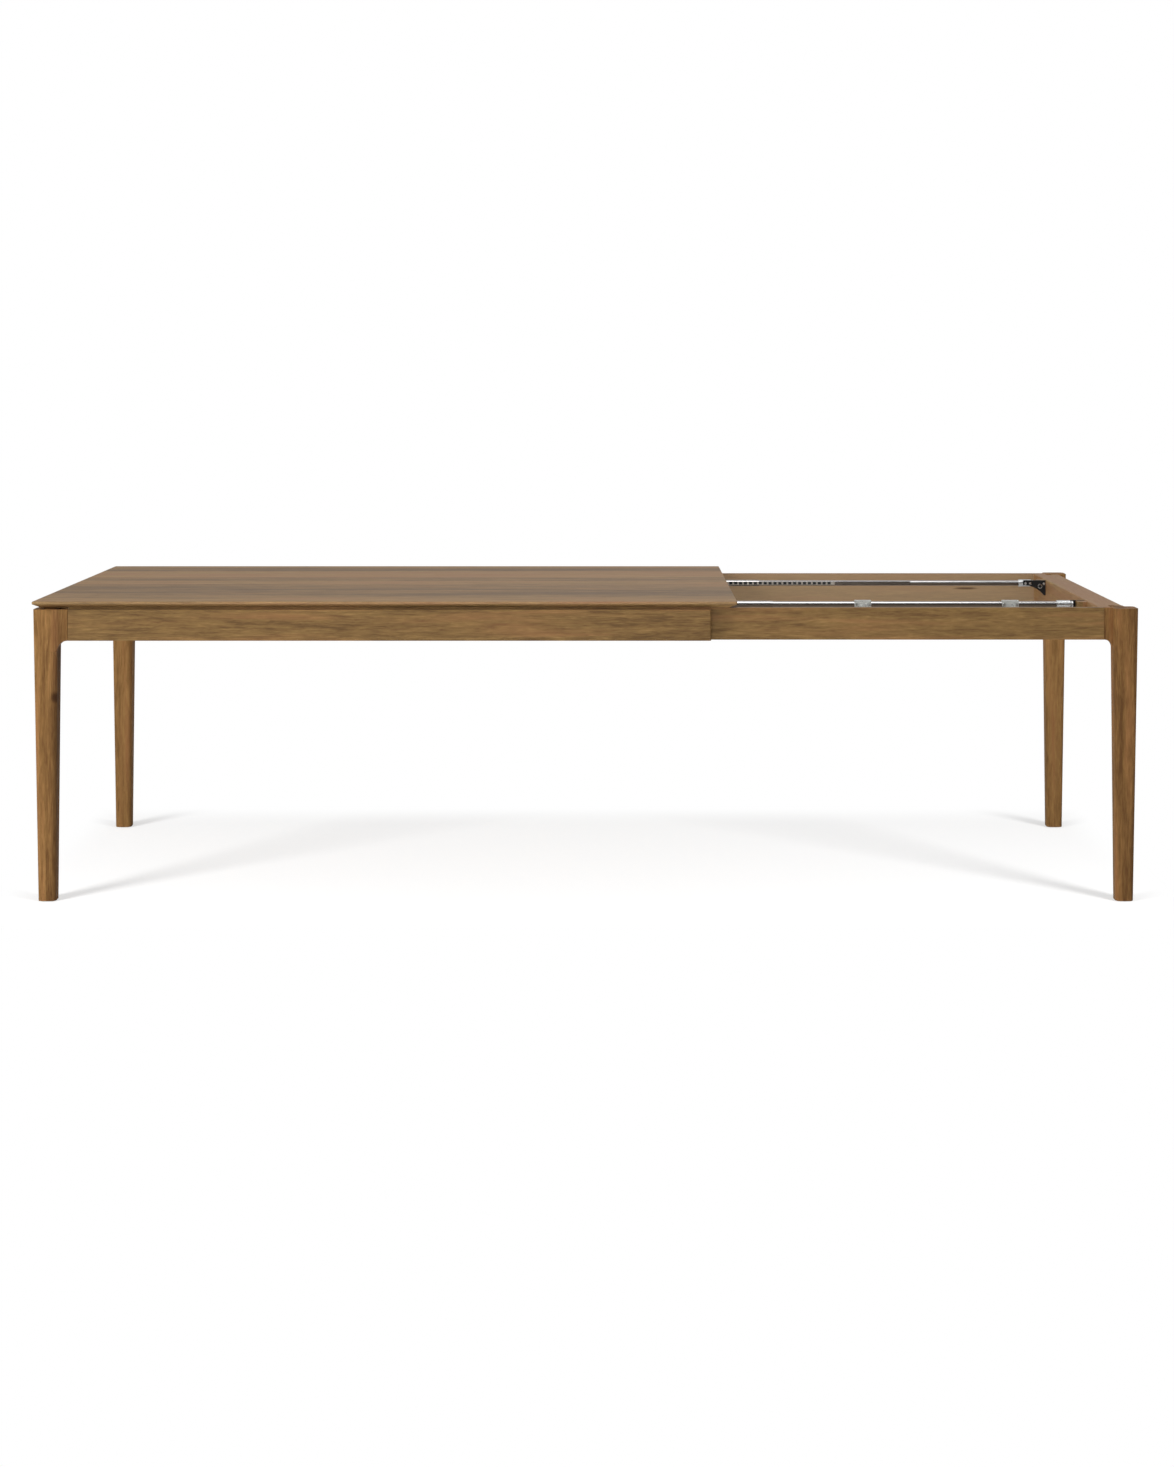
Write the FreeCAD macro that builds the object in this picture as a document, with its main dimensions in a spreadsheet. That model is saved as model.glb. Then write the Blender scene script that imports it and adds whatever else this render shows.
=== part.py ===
"""Extending dining table in solid wood, with a pull-out end frame on telescopic steel runners.

Millimetres. +X points to the pulled-out end, +Y to the back, +Z up. The origin is on the floor
under the middle of the opened table.
"""
import FreeCAD, Part
import os
import re
import Sketcher

# Driving sizes in millimetres, and counts where the name says so
SIZES = {
    # whole table
    "top_length": 1790,
    "top_depth": 1000,
    "top_thickness": 18,
    "table_height": 764,
    "travel": 1020,
    "nose_overhang": 2,
    # edge of the top and of the leaves
    "bevel_width": 22,
    "bevel_height": 11.5,
    "nose_round": 3,
    "corner_round": 5,
    # shadow line between frame and top
    "shadow_gap": 2.5,
    "shadow_depth": 13,
    # legs
    "leg_head": 62,
    "leg_outer_taper": 11,
    "leg_inner_taper": 6,
    "leg_round": 12,
    "wing_length": 27,
    "slide_wing_length": 21,
    "run_out_length": 26,
    "run_out_step": 1,
    "pad_inset": 24,
    "glide_height": 2,
    "glide_diameter": 30,
    # aprons and rails
    "apron_height": 79,
    "rail_thickness": 22,
    "fixed_recess": 1,
    "slide_gap": 1.5,
    "slide_top_gap": 0.5,
    "apron_end_round": 4,
    "seam_width": 1,
    "seam_depth": 3,
    "end_gap": 3,
    "sliding_apron_length": 1419,
    "beam_width": 68,
    "beam_round": 3,
    "tail_rail_width": 40,
    "tail_rail_height": 28,
    "tail_rail_lift": 2,
    "tail_rail_inset": 5,
    # dowels, blocks and bolts of the frame
    "dowel_diameter": 10,
    "dowel_depth": 20,
    "dowel_edge": 20,
    "tie_diameter": 6,
    "block_start": 100,
    "block_width": 40,
    "block_inset": 8,
    "bolt_diameter": 8,
    "bolt_grip": 34,
    "bolt_edge": 23,
    "nut_across_corners": 14,
    "nut_height": 6.5,
    "washer_diameter": 20,
    "washer_thickness": 1.6,
    # overlap of shapes that become one piece
    "lap": 1,
    # screws
    "screw_diameter": 4.5,
    "screw_head": 8,
    "screw_head_height": 3,
    "screw_bite": 11,
    "apron_screw_sink": 42,
    "apron_screw_edge": 110,
    "small_screw_diameter": 3.5,
    "small_screw_head": 6.5,
    "small_screw_head_height": 2.2,
    # nylon glides between the aprons
    "pad_diameter": 25,
    "pad_depth": 3,
    "pad_stand": 1.2,
    "pad_edge": 40,
    "pad_height_step": 34,
    # telescopic runners
    "runner_spacing": 570,
    "inner_tube": 15,
    "inner_tube_wall": 5,
    "tube_wall": 0.9,
    "tube_clearance": 0.3,
    "tube_drop": 1.1,
    "outer_setback": 46,
    "outer_length": 985,
    "middle_show": 104,
    "middle_length": 980,
    "inner_setback": 37.5,
    "inner_length": 947,
    # tube clamps
    "clamp_length": 40,
    "clamp_wall": 2.5,
    "clamp_foot": 16,
    "clamp_foot_height": 6,
    "clamp_screw_spacing": 24,
    "clamp_inset": 75,
    # perforated strip with its inserts
    "cage_show": 322,
    "cage_root": 28,
    "window_show": 1,
    "cage_height": 9,
    "cage_thickness": 2.4,
    "cage_play": 0.3,
    "cage_drop": 6.1,
    "insert_length": 9,
    "insert_height": 7,
    "insert_stand": 0.9,
    "insert_pitch": 14.1,
    "insert_margin": 12,
    "cage_share": 0.2,
    "cage_pin": 3,
    # tube end, gusset plate and its block
    "collar_length": 36,
    "collar_diameter": 20,
    "collar_setback": 3,
    "collar_screw_edge": 4,
    "collar_screw_spacing": 13.5,
    "cap_diameter": 17,
    "cap_thickness": 4,
    "cap_plug": 15,
    "gusset_length": 64,
    "gusset_height": 43,
    "gusset_thickness": 4,
    "gusset_arm": 14,
    "gusset_round": 74,
    "gusset_level": 9,
    "runner_block_length": 24,
    "runner_block_depth": 32,
    "runner_block_height": 23,
    "runner_block_drop": 1,
    "gusset_screw_drop": 10,
    "block_screw_edge": 5.5,
    "big_bolt_diameter": 6,
    "big_bolt_head": 10,
    "big_bolt_head_height": 4,
    "big_bolt_washer": 13,
    "big_bolt_reach": 24,
    "big_bolt_edge": 16.5,
    "big_bolt_drop": 17,
    # clear rests for a leaf
    "rest_length": 43,
    "rest_wall": 4.5,
    "rest_skirt": 17,
    "rest_top_play": 0.4,
    "rest_end_distance": 198.5,
    "rest_spacing": 387,
    "rest_screw_inset": 5,
    # stored leaves and their rails
    "leaf_gap": 1,
    "leaf_setback": 20,
    "leaf_headroom": 2,
    "leaf_play": 0.3,
    "leaf_side_play": 1.5,
    "storage_gauge": 3,
    "storage_shelf": 28,
    "storage_flange": 11,
    "storage_setback": 10,
    "storage_end_gap": 15,
    "storage_screw_edge": 60,
    "batten_width": 28,
    "batten_height": 40,
    "batten_play": 2.5,
}

# Counts of what repeats along a length
APRON_SCREWS = 5
END_RAIL_SCREWS = 3
STORAGE_SCREWS = 5

# Places worked out from the driving sizes
LAYOUT = {
    "right_face": "(top_length - nose_overhang + travel) / 2",
    "left_nose": "-right_face",
    "right_nose": "left_nose + top_length",
    "left_face": "left_nose + nose_overhang",
    "side_face": "top_depth / 2 - nose_overhang",
    "underside": "table_height - top_thickness",
    "frame_top": "underside - shadow_gap",
    "frame_bottom": "frame_top - apron_height",
    "slide_top": "underside - slide_top_gap",
    "slide_recess": "fixed_recess + rail_thickness + slide_gap",
    "leg_reach": "leg_head + wing_length",
    "slide_reach": "leg_head + slide_wing_length",
    "fixed_out": "side_face - fixed_recess",
    "fixed_in": "fixed_out - rail_thickness",
    "slide_out": "side_face - slide_recess",
    "slide_in": "slide_out - rail_thickness",
    "apron_left": "left_face + leg_reach",
    "apron_right": "right_face - travel - leg_head - end_gap",
    "slide_right": "right_face - slide_reach",
    "slide_left": "slide_right - sliding_apron_length",
    "rail_out": "left_face + fixed_recess",
    "rail_in": "rail_out + rail_thickness",
    "rail_half": "side_face - leg_reach",
    "beam_half": "side_face - slide_reach",
    "beam_out": "right_face - slide_recess",
    "beam_in": "beam_out - beam_width",
    "middle_tube": "inner_tube + 2 * (tube_clearance + tube_wall)",
    "outer_tube": "middle_tube + 2 * (tube_clearance + tube_wall)",
    "runner_side": "runner_spacing / 2",
    "runner_level": "underside - outer_tube / 2 - tube_drop",
    "outer_left": "rail_in + outer_setback",
    "outer_right": "outer_left + outer_length",
    "middle_right": "right_nose + middle_show",
    "middle_left": "middle_right - middle_length",
    "inner_right": "beam_in - inner_setback",
    "inner_left": "inner_right - inner_length",
    "collar_right": "inner_right - collar_setback",
    "gusset_out": "runner_side - collar_diameter / 2",
    "gusset_in": "gusset_out - gusset_thickness",
    "gusset_left": "beam_in - gusset_length",
    "gusset_top": "runner_level + gusset_level",
    "gusset_bottom": "gusset_top - gusset_height",
    "cage_right": "right_nose + cage_show",
    "window_left": "right_nose + window_show",
    "cage_left": "window_left - cage_root",
    "cage_face": "runner_side - cage_drop",
    "rest_right": "beam_in - rest_end_distance",
    "rest_left": "rest_right - rest_spacing",
    "leaf_width": "travel / 2 - leaf_gap",
    "leaf_left": "outer_left + leaf_setback",
    "upper_leaf": "underside - leaf_headroom - top_thickness",
    "upper_shelf": "upper_leaf - leaf_play",
    "lower_leaf": "upper_shelf - storage_gauge - leaf_play - top_thickness",
    "lower_shelf": "lower_leaf - leaf_play",
    "storage_in": "leaf_width / 2 + leaf_side_play",
    "storage_out": "storage_in + storage_gauge",
    "shelf_in": "storage_in - storage_shelf",
    "storage_left": "outer_left + storage_setback",
    "storage_right": "beam_in - travel - storage_end_gap",
    "batten_right": "leaf_left - leaf_gap",
}

SIDES = {"front": -1, "back": 1}
RESTED_SIDE = "front"
# How near two places count as the same, and what a step along a diagonal gives each way
NEAR = 0.01
PER_DIAGONAL = "0.70710678"
Vector = FreeCAD.Vector
NO_TURN = FreeCAD.Rotation()
HALF_TURN = FreeCAD.Rotation(Vector(0, 0, 1), 180)
AXIS_TURNS = {
    "x": FreeCAD.Rotation(Vector(0, 1, 0), 90),
    "y": FreeCAD.Rotation(Vector(1, 0, 0), -90),
    "z": NO_TURN,
}
# A leg's own frame has its outer corner at the origin, with both shoulders towards plus
LEG_TURNS = {"front_left": 0, "front_right": 90, "back_right": 180, "back_left": 270}

document = FreeCAD.newDocument("extending_table")
nodes = []


def formula(text, own_sheet=False):
    """The same formula with each name pointing at its sheet."""
    def point(match):
        word = match.group()
        if word in SIZES:
            return f"Sizes.{word}"
        return word if own_sheet else f"Layout.{word}"
    return re.sub(r"[a-z][a-z_]+", point, text)


def make_sheet(name, cells):
    sheet = document.addObject("Spreadsheet::Sheet", name)
    for row, (alias, content) in enumerate(cells.items(), start=1):
        sheet.set(f"A{row}", alias)
        sheet.set(f"B{row}", content)
        sheet.setAlias(f"B{row}", alias)
    document.recompute()
    return sheet


def size(text):
    """The present value of a formula."""
    return float(document.Sizes.evalExpression(formula(text)))


# Shapes bound to the sheets

def place(piece, x, y, z, turn=NO_TURN):
    piece.Placement = FreeCAD.Placement(Vector(), turn)
    for axis, text in zip("xyz", (x, y, z)):
        piece.setExpression(f"Placement.Base.{axis}", formula(text))
    return piece


def keep(piece):
    """Marks a finished sub-part, whose label names its file."""
    nodes.append(piece)
    return piece


def box(name, x, y, z):
    piece = document.addObject("Part::Box", name)
    for side, (low, high) in zip(("Length", "Width", "Height"), (x, y, z)):
        piece.setExpression(side, formula(f"({high}) - ({low})"))
    return place(piece, x[0], y[0], z[0])


def rod(name, diameter, x, y, z):
    """A cylinder along the one direction that is given as a pair of ends."""
    spans = {"x": x, "y": y, "z": z}
    axis = next(key for key, span in spans.items() if isinstance(span, tuple))
    low, high = spans[axis]
    piece = document.addObject("Part::Cylinder", name)
    piece.setExpression("Radius", formula(f"({diameter}) / 2"))
    piece.setExpression("Height", formula(f"({high}) - ({low})"))
    start = [span[0] if isinstance(span, tuple) else span for span in spans.values()]
    return place(piece, *start, AXIS_TURNS[axis])


def wedge(name, width, depth, height, low_x, low_y):
    """A block from 0 to its sizes at the top, with its foot drawn in to low_x and low_y."""
    piece = document.addObject("Part::Wedge", name)
    limits = {
        "Xmin": low_x[0], "Xmax": low_x[1], "X2min": "0", "X2max": width,
        "Ymin": "0", "Ymax": height,
        "Zmin": f"-({low_y[1]})", "Zmax": f"-({low_y[0]})", "Z2min": f"-({depth})", "Z2max": "0",
    }
    for limit, text in limits.items():
        piece.setExpression(limit, formula(text))
    piece.Placement = FreeCAD.Placement(Vector(), FreeCAD.Rotation(Vector(1, 0, 0), 90))
    return piece


def group(name, pieces):
    piece = document.addObject("Part::Compound", name)
    piece.Links = pieces
    return piece


def cut(name, base, tools):
    piece = document.addObject("Part::Cut", name)
    piece.Base = base
    piece.Tool = tools[0] if len(tools) == 1 else group(name + "_tools", tools)
    return piece


def fuse(name, pieces):
    piece = document.addObject("Part::MultiFuse", name)
    piece.Shapes = pieces
    piece.Refine = True
    return piece


def fillet(name, base, radius_of):
    """Rounds each edge of the base for which radius_of gives a radius."""
    document.recompute()
    edges = []
    for index, edge in enumerate(base.Shape.Edges, start=1):
        radius = radius_of(edge)
        if radius:
            edges.append((index, radius, radius))
    piece = document.addObject("Part::Fillet", name)
    piece.Base = base
    piece.Edges = edges
    return piece


def origin_plane(body, role):
    return next(plane for plane in body.Origin.OriginFeatures if plane.Role == role)


def prism(name, role, outline, length):
    """A body padded from a sketch of straight lines through the points of the outline."""
    body = document.addObject("PartDesign::Body", name)
    sketch = body.newObject("Sketcher::SketchObject", name + "_sketch")
    sketch.AttachmentSupport = [(origin_plane(body, role), "")]
    sketch.MapMode = "FlatFace"
    corners = [Vector(size(u), size(v), 0) for u, v in outline]
    count = len(corners)
    for index, corner in enumerate(corners):
        sketch.addGeometry(Part.LineSegment(corner, corners[(index + 1) % count]))
    for index in range(count):
        sketch.addConstraint(Sketcher.Constraint("Coincident", index, 2, (index + 1) % count, 1))
    for index, (u, v) in enumerate(outline):
        for kind, text in (("DistanceX", u), ("DistanceY", v)):
            place_of = Sketcher.Constraint(kind, -1, 1, index, 1, size(text))
            number = sketch.addConstraint(place_of)
            sketch.setExpression(f"Constraints[{number}]", formula(text))
    pad = body.newObject("PartDesign::Pad", name + "_pad")
    pad.Profile = sketch
    pad.setExpression("Length", formula(length))
    return body


def run(name, side, outline, x):
    """A length of one section along X, the section given by distance from the middle and level."""
    body = prism(name, "YZ_Plane", outline, f"({x[1]}) - ({x[0]})")
    if side > 0:
        return place(body, x[0], "0", "0")
    return place(body, x[1], "0", "0", HALF_TURN)


def across(side, near, far):
    """The Y span between two distances from the middle, on one side of the table."""
    return (near, far) if side > 0 else (f"-({far})", f"-({near})")


def spread(low, high, count):
    """Formulas of evenly spaced places from low to high."""
    step = f"(({high}) - ({low})) / {count - 1}"
    return [f"({low}) + {index} * {step}" for index in range(count)]


# Fasteners

def screw(name, axis, seat, direction, at, kind="screw", bite="screw_bite"):
    """A pan-head screw whose head sits against the seat, its shank pointing along the direction."""
    diameter = "small_screw_diameter" if kind == "small" else "screw_diameter"
    head = "small_screw_head" if kind == "small" else "screw_head"
    head_height = f"{head}_height"
    tip = f"({seat}) + {direction} * ({bite})"
    back = f"({seat}) - {direction} * {head_height}"
    shank_span = (seat, tip) if direction > 0 else (tip, seat)
    head_span = (back, seat) if direction > 0 else (seat, back)

    def along(span):
        others = list(at)
        others.insert("xyz".index(axis), span)
        return others
    shank = rod(name + "_shank", diameter, *along(shank_span))
    cap = rod(name + "_head", head, *along(head_span))
    return fuse(name, [shank, cap])


def dowel_pair(name, axis, joint, at):
    """Two dowels, one above the other, across a joint."""
    pair = []
    levels = ("frame_bottom + dowel_edge", "frame_top - dowel_edge")
    span = (f"({joint}) - dowel_depth", f"({joint}) + dowel_depth")
    for index, level in enumerate(levels):
        x, y = (span, at) if axis == "x" else (at, span)
        pair.append(rod(f"{name}_{index}", "dowel_diameter", x, y, level))
    return pair


# Wood

def panel(name, length, width, bevels):
    """A panel on its underside, with a rounded nose over a bevel on the sides that bevels names."""
    sides = ("left", "right", "front", "back")
    inset = {side: "bevel_width" if side in bevels else "0" for side in sides}
    low_x = (inset["left"], f"({length}) - {inset['right']}")
    low_y = (inset["front"], f"({width}) - {inset['back']}")
    lower = wedge(name + "_bevel", length, width, "bevel_height", low_x, low_y)
    upper = box(name + "_nose", ("0", length), ("0", width), ("bevel_height", "top_thickness"))
    blank = fuse(name + "_blank", [lower, upper])
    nose_levels = (size("top_thickness"), size("bevel_height"))

    def radius_of(edge):
        middle = edge.CenterOfMass
        ends = {
            "left": middle.x < NEAR, "right": middle.x > size(length) - NEAR,
            "front": middle.y < NEAR, "back": middle.y > size(width) - NEAR,
        }
        touched = [side for side, there in ends.items() if there]
        rounded = [side for side in touched if side in bevels]
        if len(touched) == 2 and len(rounded) == 2:
            return size("corner_round")
        on_nose = any(abs(middle.z - level) < NEAR for level in nose_levels)
        return size("nose_round") if len(touched) == 1 and rounded and on_nose else 0
    return fillet(name + "_rounded", blank, radius_of)


def leg_frame(piece, corner):
    """Puts a shape made in a leg's own frame at that leg's corner of the table."""
    x = "left_face" if "left" in corner else "right_face"
    y = "-side_face" if "front" in corner else "side_face"
    return place(piece, x, y, "0", FreeCAD.Rotation(Vector(0, 0, 1), LEG_TURNS[corner]))


def leg_blank(corner, recess, wing, top, padded):
    """A tapered leg with a shoulder to each side, its underside a quarter round.

    A padded leg carries the top, and its shoulders run out into the rounded edges below them.
    """
    name = "leg_" + corner
    low = ("leg_outer_taper", "leg_head - leg_inner_taper")
    shaft = wedge(name + "_shaft", "leg_head", "leg_head", f"{top} - glide_height", low, low)
    shaft.setExpression("Placement.Base.z", formula("glide_height"))
    long_edge = size("frame_top") / 2
    rounded = fillet(name + "_rounded", shaft,
                     lambda edge: size("leg_round") if edge.Length > long_edge else 0)
    across_wing = (recess, f"{recess} + rail_thickness")
    reach = f"leg_head + {wing}"
    along_wing = ("leg_head / 2", reach)
    round_level = f"frame_bottom - {wing}"
    height = (round_level, top)
    wings = [
        cut(name + "_wing_x", box(name + "_wing_x_block", along_wing, across_wing, height),
            [rod(name + "_wing_x_round", f"2 * {wing}", reach, across_wing, round_level)]),
        cut(name + "_wing_y", box(name + "_wing_y_block", across_wing, along_wing, height),
            [rod(name + "_wing_y_round", f"2 * {wing}", across_wing, reach, round_level)]),
    ]
    pieces = [rounded] + wings
    if padded:
        pad = ("pad_inset", "leg_head - leg_inner_taper")
        pieces.append(box(name + "_pad", pad, pad, ("frame_top - lap", "underside")))
        run_length = "leg_head / 2 - run_out_step"
        along = ("0", f"{run_length} - run_out_step")
        inwards = ("leg_round", "rail_thickness")
        foot = f"{round_level} - run_out_length"
        run_x = wedge(name + "_run_x", run_length, "rail_thickness", "run_out_length", along, inwards)
        run_y = wedge(name + "_run_y", "rail_thickness", run_length, "run_out_length", inwards, along)
        upright = run_x.Placement.Rotation
        pieces.append(place(run_x, "leg_head / 2", recess, foot, upright))
        pieces.append(place(run_y, recess, "leg_head / 2", foot, upright))
    return leg_frame(fuse(name + "_blank", pieces), corner)


def foot_glides(name, corners):
    discs = []
    for corner in corners:
        centre = "(leg_outer_taper + leg_head - leg_inner_taper) / 2"
        x = f"left_face + {centre}" if "left" in corner else f"right_face - {centre}"
        y = f"-side_face + {centre}" if "front" in corner else f"side_face - {centre}"
        discs.append(rod(f"{name}_{corner}", "glide_diameter", x, y, ("0", "glide_height")))
    return keep(group(name, discs))


def build_fixed_frame(top):
    """Left legs, and aprons and end rail scribed to the bevel of the top. Returns holes for the top."""
    top_screws = []
    dowels = []
    leg_joints = {"front_left": [], "back_left": []}
    rail_joints = []
    apron_section = [
        ("fixed_in", "frame_bottom"), ("fixed_out", "frame_bottom"), ("fixed_out", "frame_top"),
        ("fixed_out - shadow_depth", "frame_top"), ("fixed_out - shadow_depth", "underside + bevel_height"),
        ("fixed_in", "underside + bevel_height"),
    ]
    apron_middle = "(fixed_in + fixed_out) / 2 - shadow_depth / 2"
    seat = "frame_bottom + apron_screw_sink"
    bite = "underside - frame_bottom - apron_screw_sink + screw_bite"
    glides = []
    for side_name, side in SIDES.items():
        corner = side_name + "_left"
        joint = dowel_pair(f"apron_dowel_{side_name}", "x", "apron_left",
                           f"{side} * (fixed_in + fixed_out) / 2")
        rail_joint = dowel_pair(f"rail_dowel_{side_name}", "y", f"{side} * rail_half",
                                "(rail_out + rail_in) / 2")
        square = run(f"fixed_apron_{side_name}_square", side, apron_section,
                     ("apron_left", "apron_right"))
        scribed = cut(f"fixed_apron_{side_name}_scribed", square, [top])
        blank = fillet(f"fixed_apron_{side_name}_blank", scribed, outer_end_round)
        screws = []
        wells = []
        places = spread("apron_left + apron_screw_edge", "apron_right - apron_screw_edge", APRON_SCREWS)
        for index, x in enumerate(places):
            name = f"apron_screw_{side_name}_{index}"
            at = (x, f"{side} * ({apron_middle})")
            screws.append(screw(name, "z", seat, 1, at, kind="small", bite=bite))
            wells.append(rod(name + "_well", "small_screw_head", *at, ("frame_bottom", seat)))
        pads = []
        for index in range(2):
            level = f"frame_bottom + (apron_height - pad_height_step) / 2 + {index} * pad_height_step"
            depth = across(side, "fixed_in - pad_stand", "fixed_in + pad_depth")
            pads.append(rod(f"fixed_glide_{side_name}_{index}", "pad_diameter",
                            "apron_right - pad_edge", depth, level))
        seam = box(f"fixed_apron_{side_name}_seam", ("apron_left", "apron_left + seam_width"),
                   across(side, "fixed_out - seam_depth", "fixed_out"), ("frame_bottom", "frame_top"))
        keep(cut(f"fixed_apron_{side_name}", blank, joint + screws + wells + pads + [seam]))
        top_screws += screws
        glides += pads
        dowels += joint + rail_joint
        leg_joints[corner] = joint + rail_joint
        rail_joints += rail_joint
    rail_span = ("-rail_half", "rail_half")
    rail = box("left_end_rail_blank", ("rail_out", "rail_in"), rail_span, ("frame_bottom", "frame_top"))
    tall = box("left_end_rail_tall", ("rail_out + shadow_depth", "rail_in"), rail_span,
               ("frame_top - lap", "underside + bevel_height"))
    tongue = cut("left_end_rail_tongue", tall, [top])
    rail_screws = []
    rail_wells = []
    places = spread("-rail_half + apron_screw_edge", "rail_half - apron_screw_edge", END_RAIL_SCREWS)
    for index, y in enumerate(places):
        at = ("(rail_out + shadow_depth + rail_in) / 2", y)
        rail_screws.append(screw(f"rail_screw_{index}", "z", seat, 1, at, kind="small", bite=bite))
        rail_wells.append(rod(f"rail_screw_{index}_well", "small_screw_head", *at, ("frame_bottom", seat)))
    rail_tools = rail_joints + rail_screws + rail_wells
    keep(cut("left_end_rail", fuse("left_end_rail_whole", [rail, tongue]), rail_tools))
    keep(group("apron_screws", top_screws + rail_screws))
    keep(group("frame_dowels_fixed", dowels))
    keep(group("apron_glides_fixed", glides))
    all_bolts = []
    for corner, joints in leg_joints.items():
        bolts = leg_bolts(corner)
        leg = leg_blank(corner, "fixed_recess", "wing_length", "frame_top", True)
        keep(cut("leg_" + corner, leg, joints + bolts))
        keep(cut("corner_block_" + corner, corner_block(corner), bolts))
        all_bolts += bolts
    keep(group("leg_bolts_left", all_bolts))
    foot_glides("foot_glides_left", list(leg_joints))
    return top_screws + rail_screws


def outer_end_round(edge):
    """Radius for the upright outer edge at an apron's open end, and none for the other edges."""
    middle = edge.CenterOfMass
    upright = abs(edge.BoundBox.ZLength - edge.Length) < NEAR
    outer = abs(middle.y) > size("fixed_out") - NEAR
    at_end = middle.x > size("apron_right") - NEAR
    return size("apron_end_round") if upright and outer and at_end else 0


def corner_block(corner):
    """A bar across the inside of a corner, between apron and end rail."""
    near = "fixed_recess + rail_thickness"
    far = "block_start + block_width"
    outline = [("block_start", near), (far, near), (near, far), (near, "block_start")]
    height = "apron_height - 2 * block_inset"
    body = prism(f"corner_block_{corner}_blank", "XY_Plane", outline, height)
    leg_frame(body, corner)
    body.setExpression("Placement.Base.z", formula("frame_bottom + block_inset"))
    return body


def leg_bolts(corner):
    """Two bolts from the corner block into the leg, along the diagonal of its own frame."""
    face = "(block_start + block_width + fixed_recess + rail_thickness) / 2"
    diagonal = FreeCAD.Rotation(Vector(0, 0, 1), Vector(-1, -1, 0))
    bolts = []
    for index, level in enumerate(("frame_bottom + bolt_edge", "frame_top - bolt_edge")):
        name = f"leg_bolt_{corner}_{index}"
        shank = document.addObject("Part::Cylinder", name + "_shank")
        shank.setExpression("Radius", formula("bolt_diameter / 2"))
        shank.setExpression("Height", formula(f"block_width * {PER_DIAGONAL} + bolt_grip"))
        place(shank, face, face, level, diagonal)
        washer = document.addObject("Part::Cylinder", name + "_washer")
        washer.setExpression("Radius", formula("washer_diameter / 2"))
        washer.setExpression("Height", formula("washer_thickness"))
        stand = f"{face} + washer_thickness * {PER_DIAGONAL}"
        place(washer, stand, stand, level, diagonal)
        nut = document.addObject("Part::Prism", name + "_nut")
        nut.Polygon = 6
        nut.setExpression("Circumradius", formula("nut_across_corners / 2"))
        nut.setExpression("Height", formula("nut_height"))
        stand = f"{face} + (washer_thickness + nut_height) * {PER_DIAGONAL}"
        place(nut, stand, stand, level, diagonal)
        bolts.append(leg_frame(fuse(name, [shank, washer, nut]), corner))
    return bolts


def build_sliding_frame():
    """Right legs, sliding aprons, end beam and the rail that ties the aprons' hidden ends."""
    dowels = []
    screws = []
    glides = []
    beam_joints = []
    tail = ("slide_left + tail_rail_inset", "slide_left + tail_rail_inset + tail_rail_width")
    tail_level = ("frame_bottom + tail_rail_lift", "frame_bottom + tail_rail_lift + tail_rail_height")
    for side_name, side in SIDES.items():
        corner = side_name + "_right"
        joint = dowel_pair(f"slide_dowel_{side_name}", "x", "slide_right",
                           f"{side} * (slide_in + slide_out) / 2")
        beam_joint = dowel_pair(f"beam_dowel_{side_name}", "y", f"{side} * beam_half",
                                "beam_out - rail_thickness / 2")
        tie = rod(f"tie_dowel_{side_name}", "tie_diameter", "(beam_in + slide_right) / 2",
                  across(side, "slide_in - dowel_depth", "slide_in + rail_thickness / 2"),
                  "(frame_bottom + frame_top) / 2")
        blank = box(f"sliding_apron_{side_name}_blank", ("slide_left", "slide_right"),
                    across(side, "slide_in", "slide_out"), ("frame_bottom", "slide_top"))
        pads = []
        for index in range(2):
            level = f"frame_bottom + (apron_height - pad_height_step) / 2 + {index} * pad_height_step"
            depth = across(side, "slide_out - pad_depth", "slide_out + pad_stand")
            pads.append(rod(f"slide_glide_{side_name}_{index}", "pad_diameter",
                            "slide_left + pad_edge + tail_rail_width", depth, level))
        tail_middle = (f"({tail[0]} + {tail[1]}) / 2", f"({tail_level[0]} + {tail_level[1]}) / 2")
        tail_screw = screw(f"tail_screw_{side_name}", "y", f"{side} * (slide_out - screw_head_height)",
                           -side, tail_middle, bite="rail_thickness + screw_bite")
        seam = box(f"sliding_apron_{side_name}_seam", ("slide_right - seam_width", "slide_right"),
                   across(side, "slide_out - seam_depth", "slide_out"), ("frame_bottom", "slide_top"))
        keep(cut(f"sliding_apron_{side_name}", blank, joint + pads + [tie, tail_screw, seam]))
        leg = leg_blank(corner, "slide_recess", "slide_wing_length", "slide_top", False)
        keep(cut("leg_" + corner, leg, joint + beam_joint))
        dowels += joint + beam_joint + [tie]
        beam_joints += beam_joint + [tie]
        glides += pads
        screws.append(tail_screw)
    step_x = "beam_width - (leg_head - slide_recess)"
    step_y = "slide_in - beam_half"
    far_y = "slide_in + beam_half"
    outline = [
        ("0", "0"), (step_x, "0"), (step_x, step_y), ("beam_width", step_y),
        ("beam_width", far_y), (step_x, far_y), (step_x, "2 * slide_in"), ("0", "2 * slide_in"),
    ]
    beam_blank = prism("right_end_beam_blank", "XY_Plane", outline, "slide_top - frame_bottom")
    place(beam_blank, "beam_in", "-slide_in", "frame_bottom")
    long_edge = size("beam_half")
    rounded = fillet("right_end_beam_rounded", beam_blank,
                     lambda edge: size("beam_round") if edge.Length > long_edge else 0)
    keep(cut("right_end_beam", rounded, beam_joints))
    tail_blank = box("tail_rail_blank", tail, ("-slide_in", "slide_in"), tail_level)
    keep(cut("tail_rail", tail_blank, screws))
    keep(group("tail_screws", screws))
    keep(group("frame_dowels_sliding", dowels))
    keep(group("apron_glides_sliding", glides))
    foot_glides("foot_glides_right", ["front_right", "back_right"])


# Telescopic runners

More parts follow.
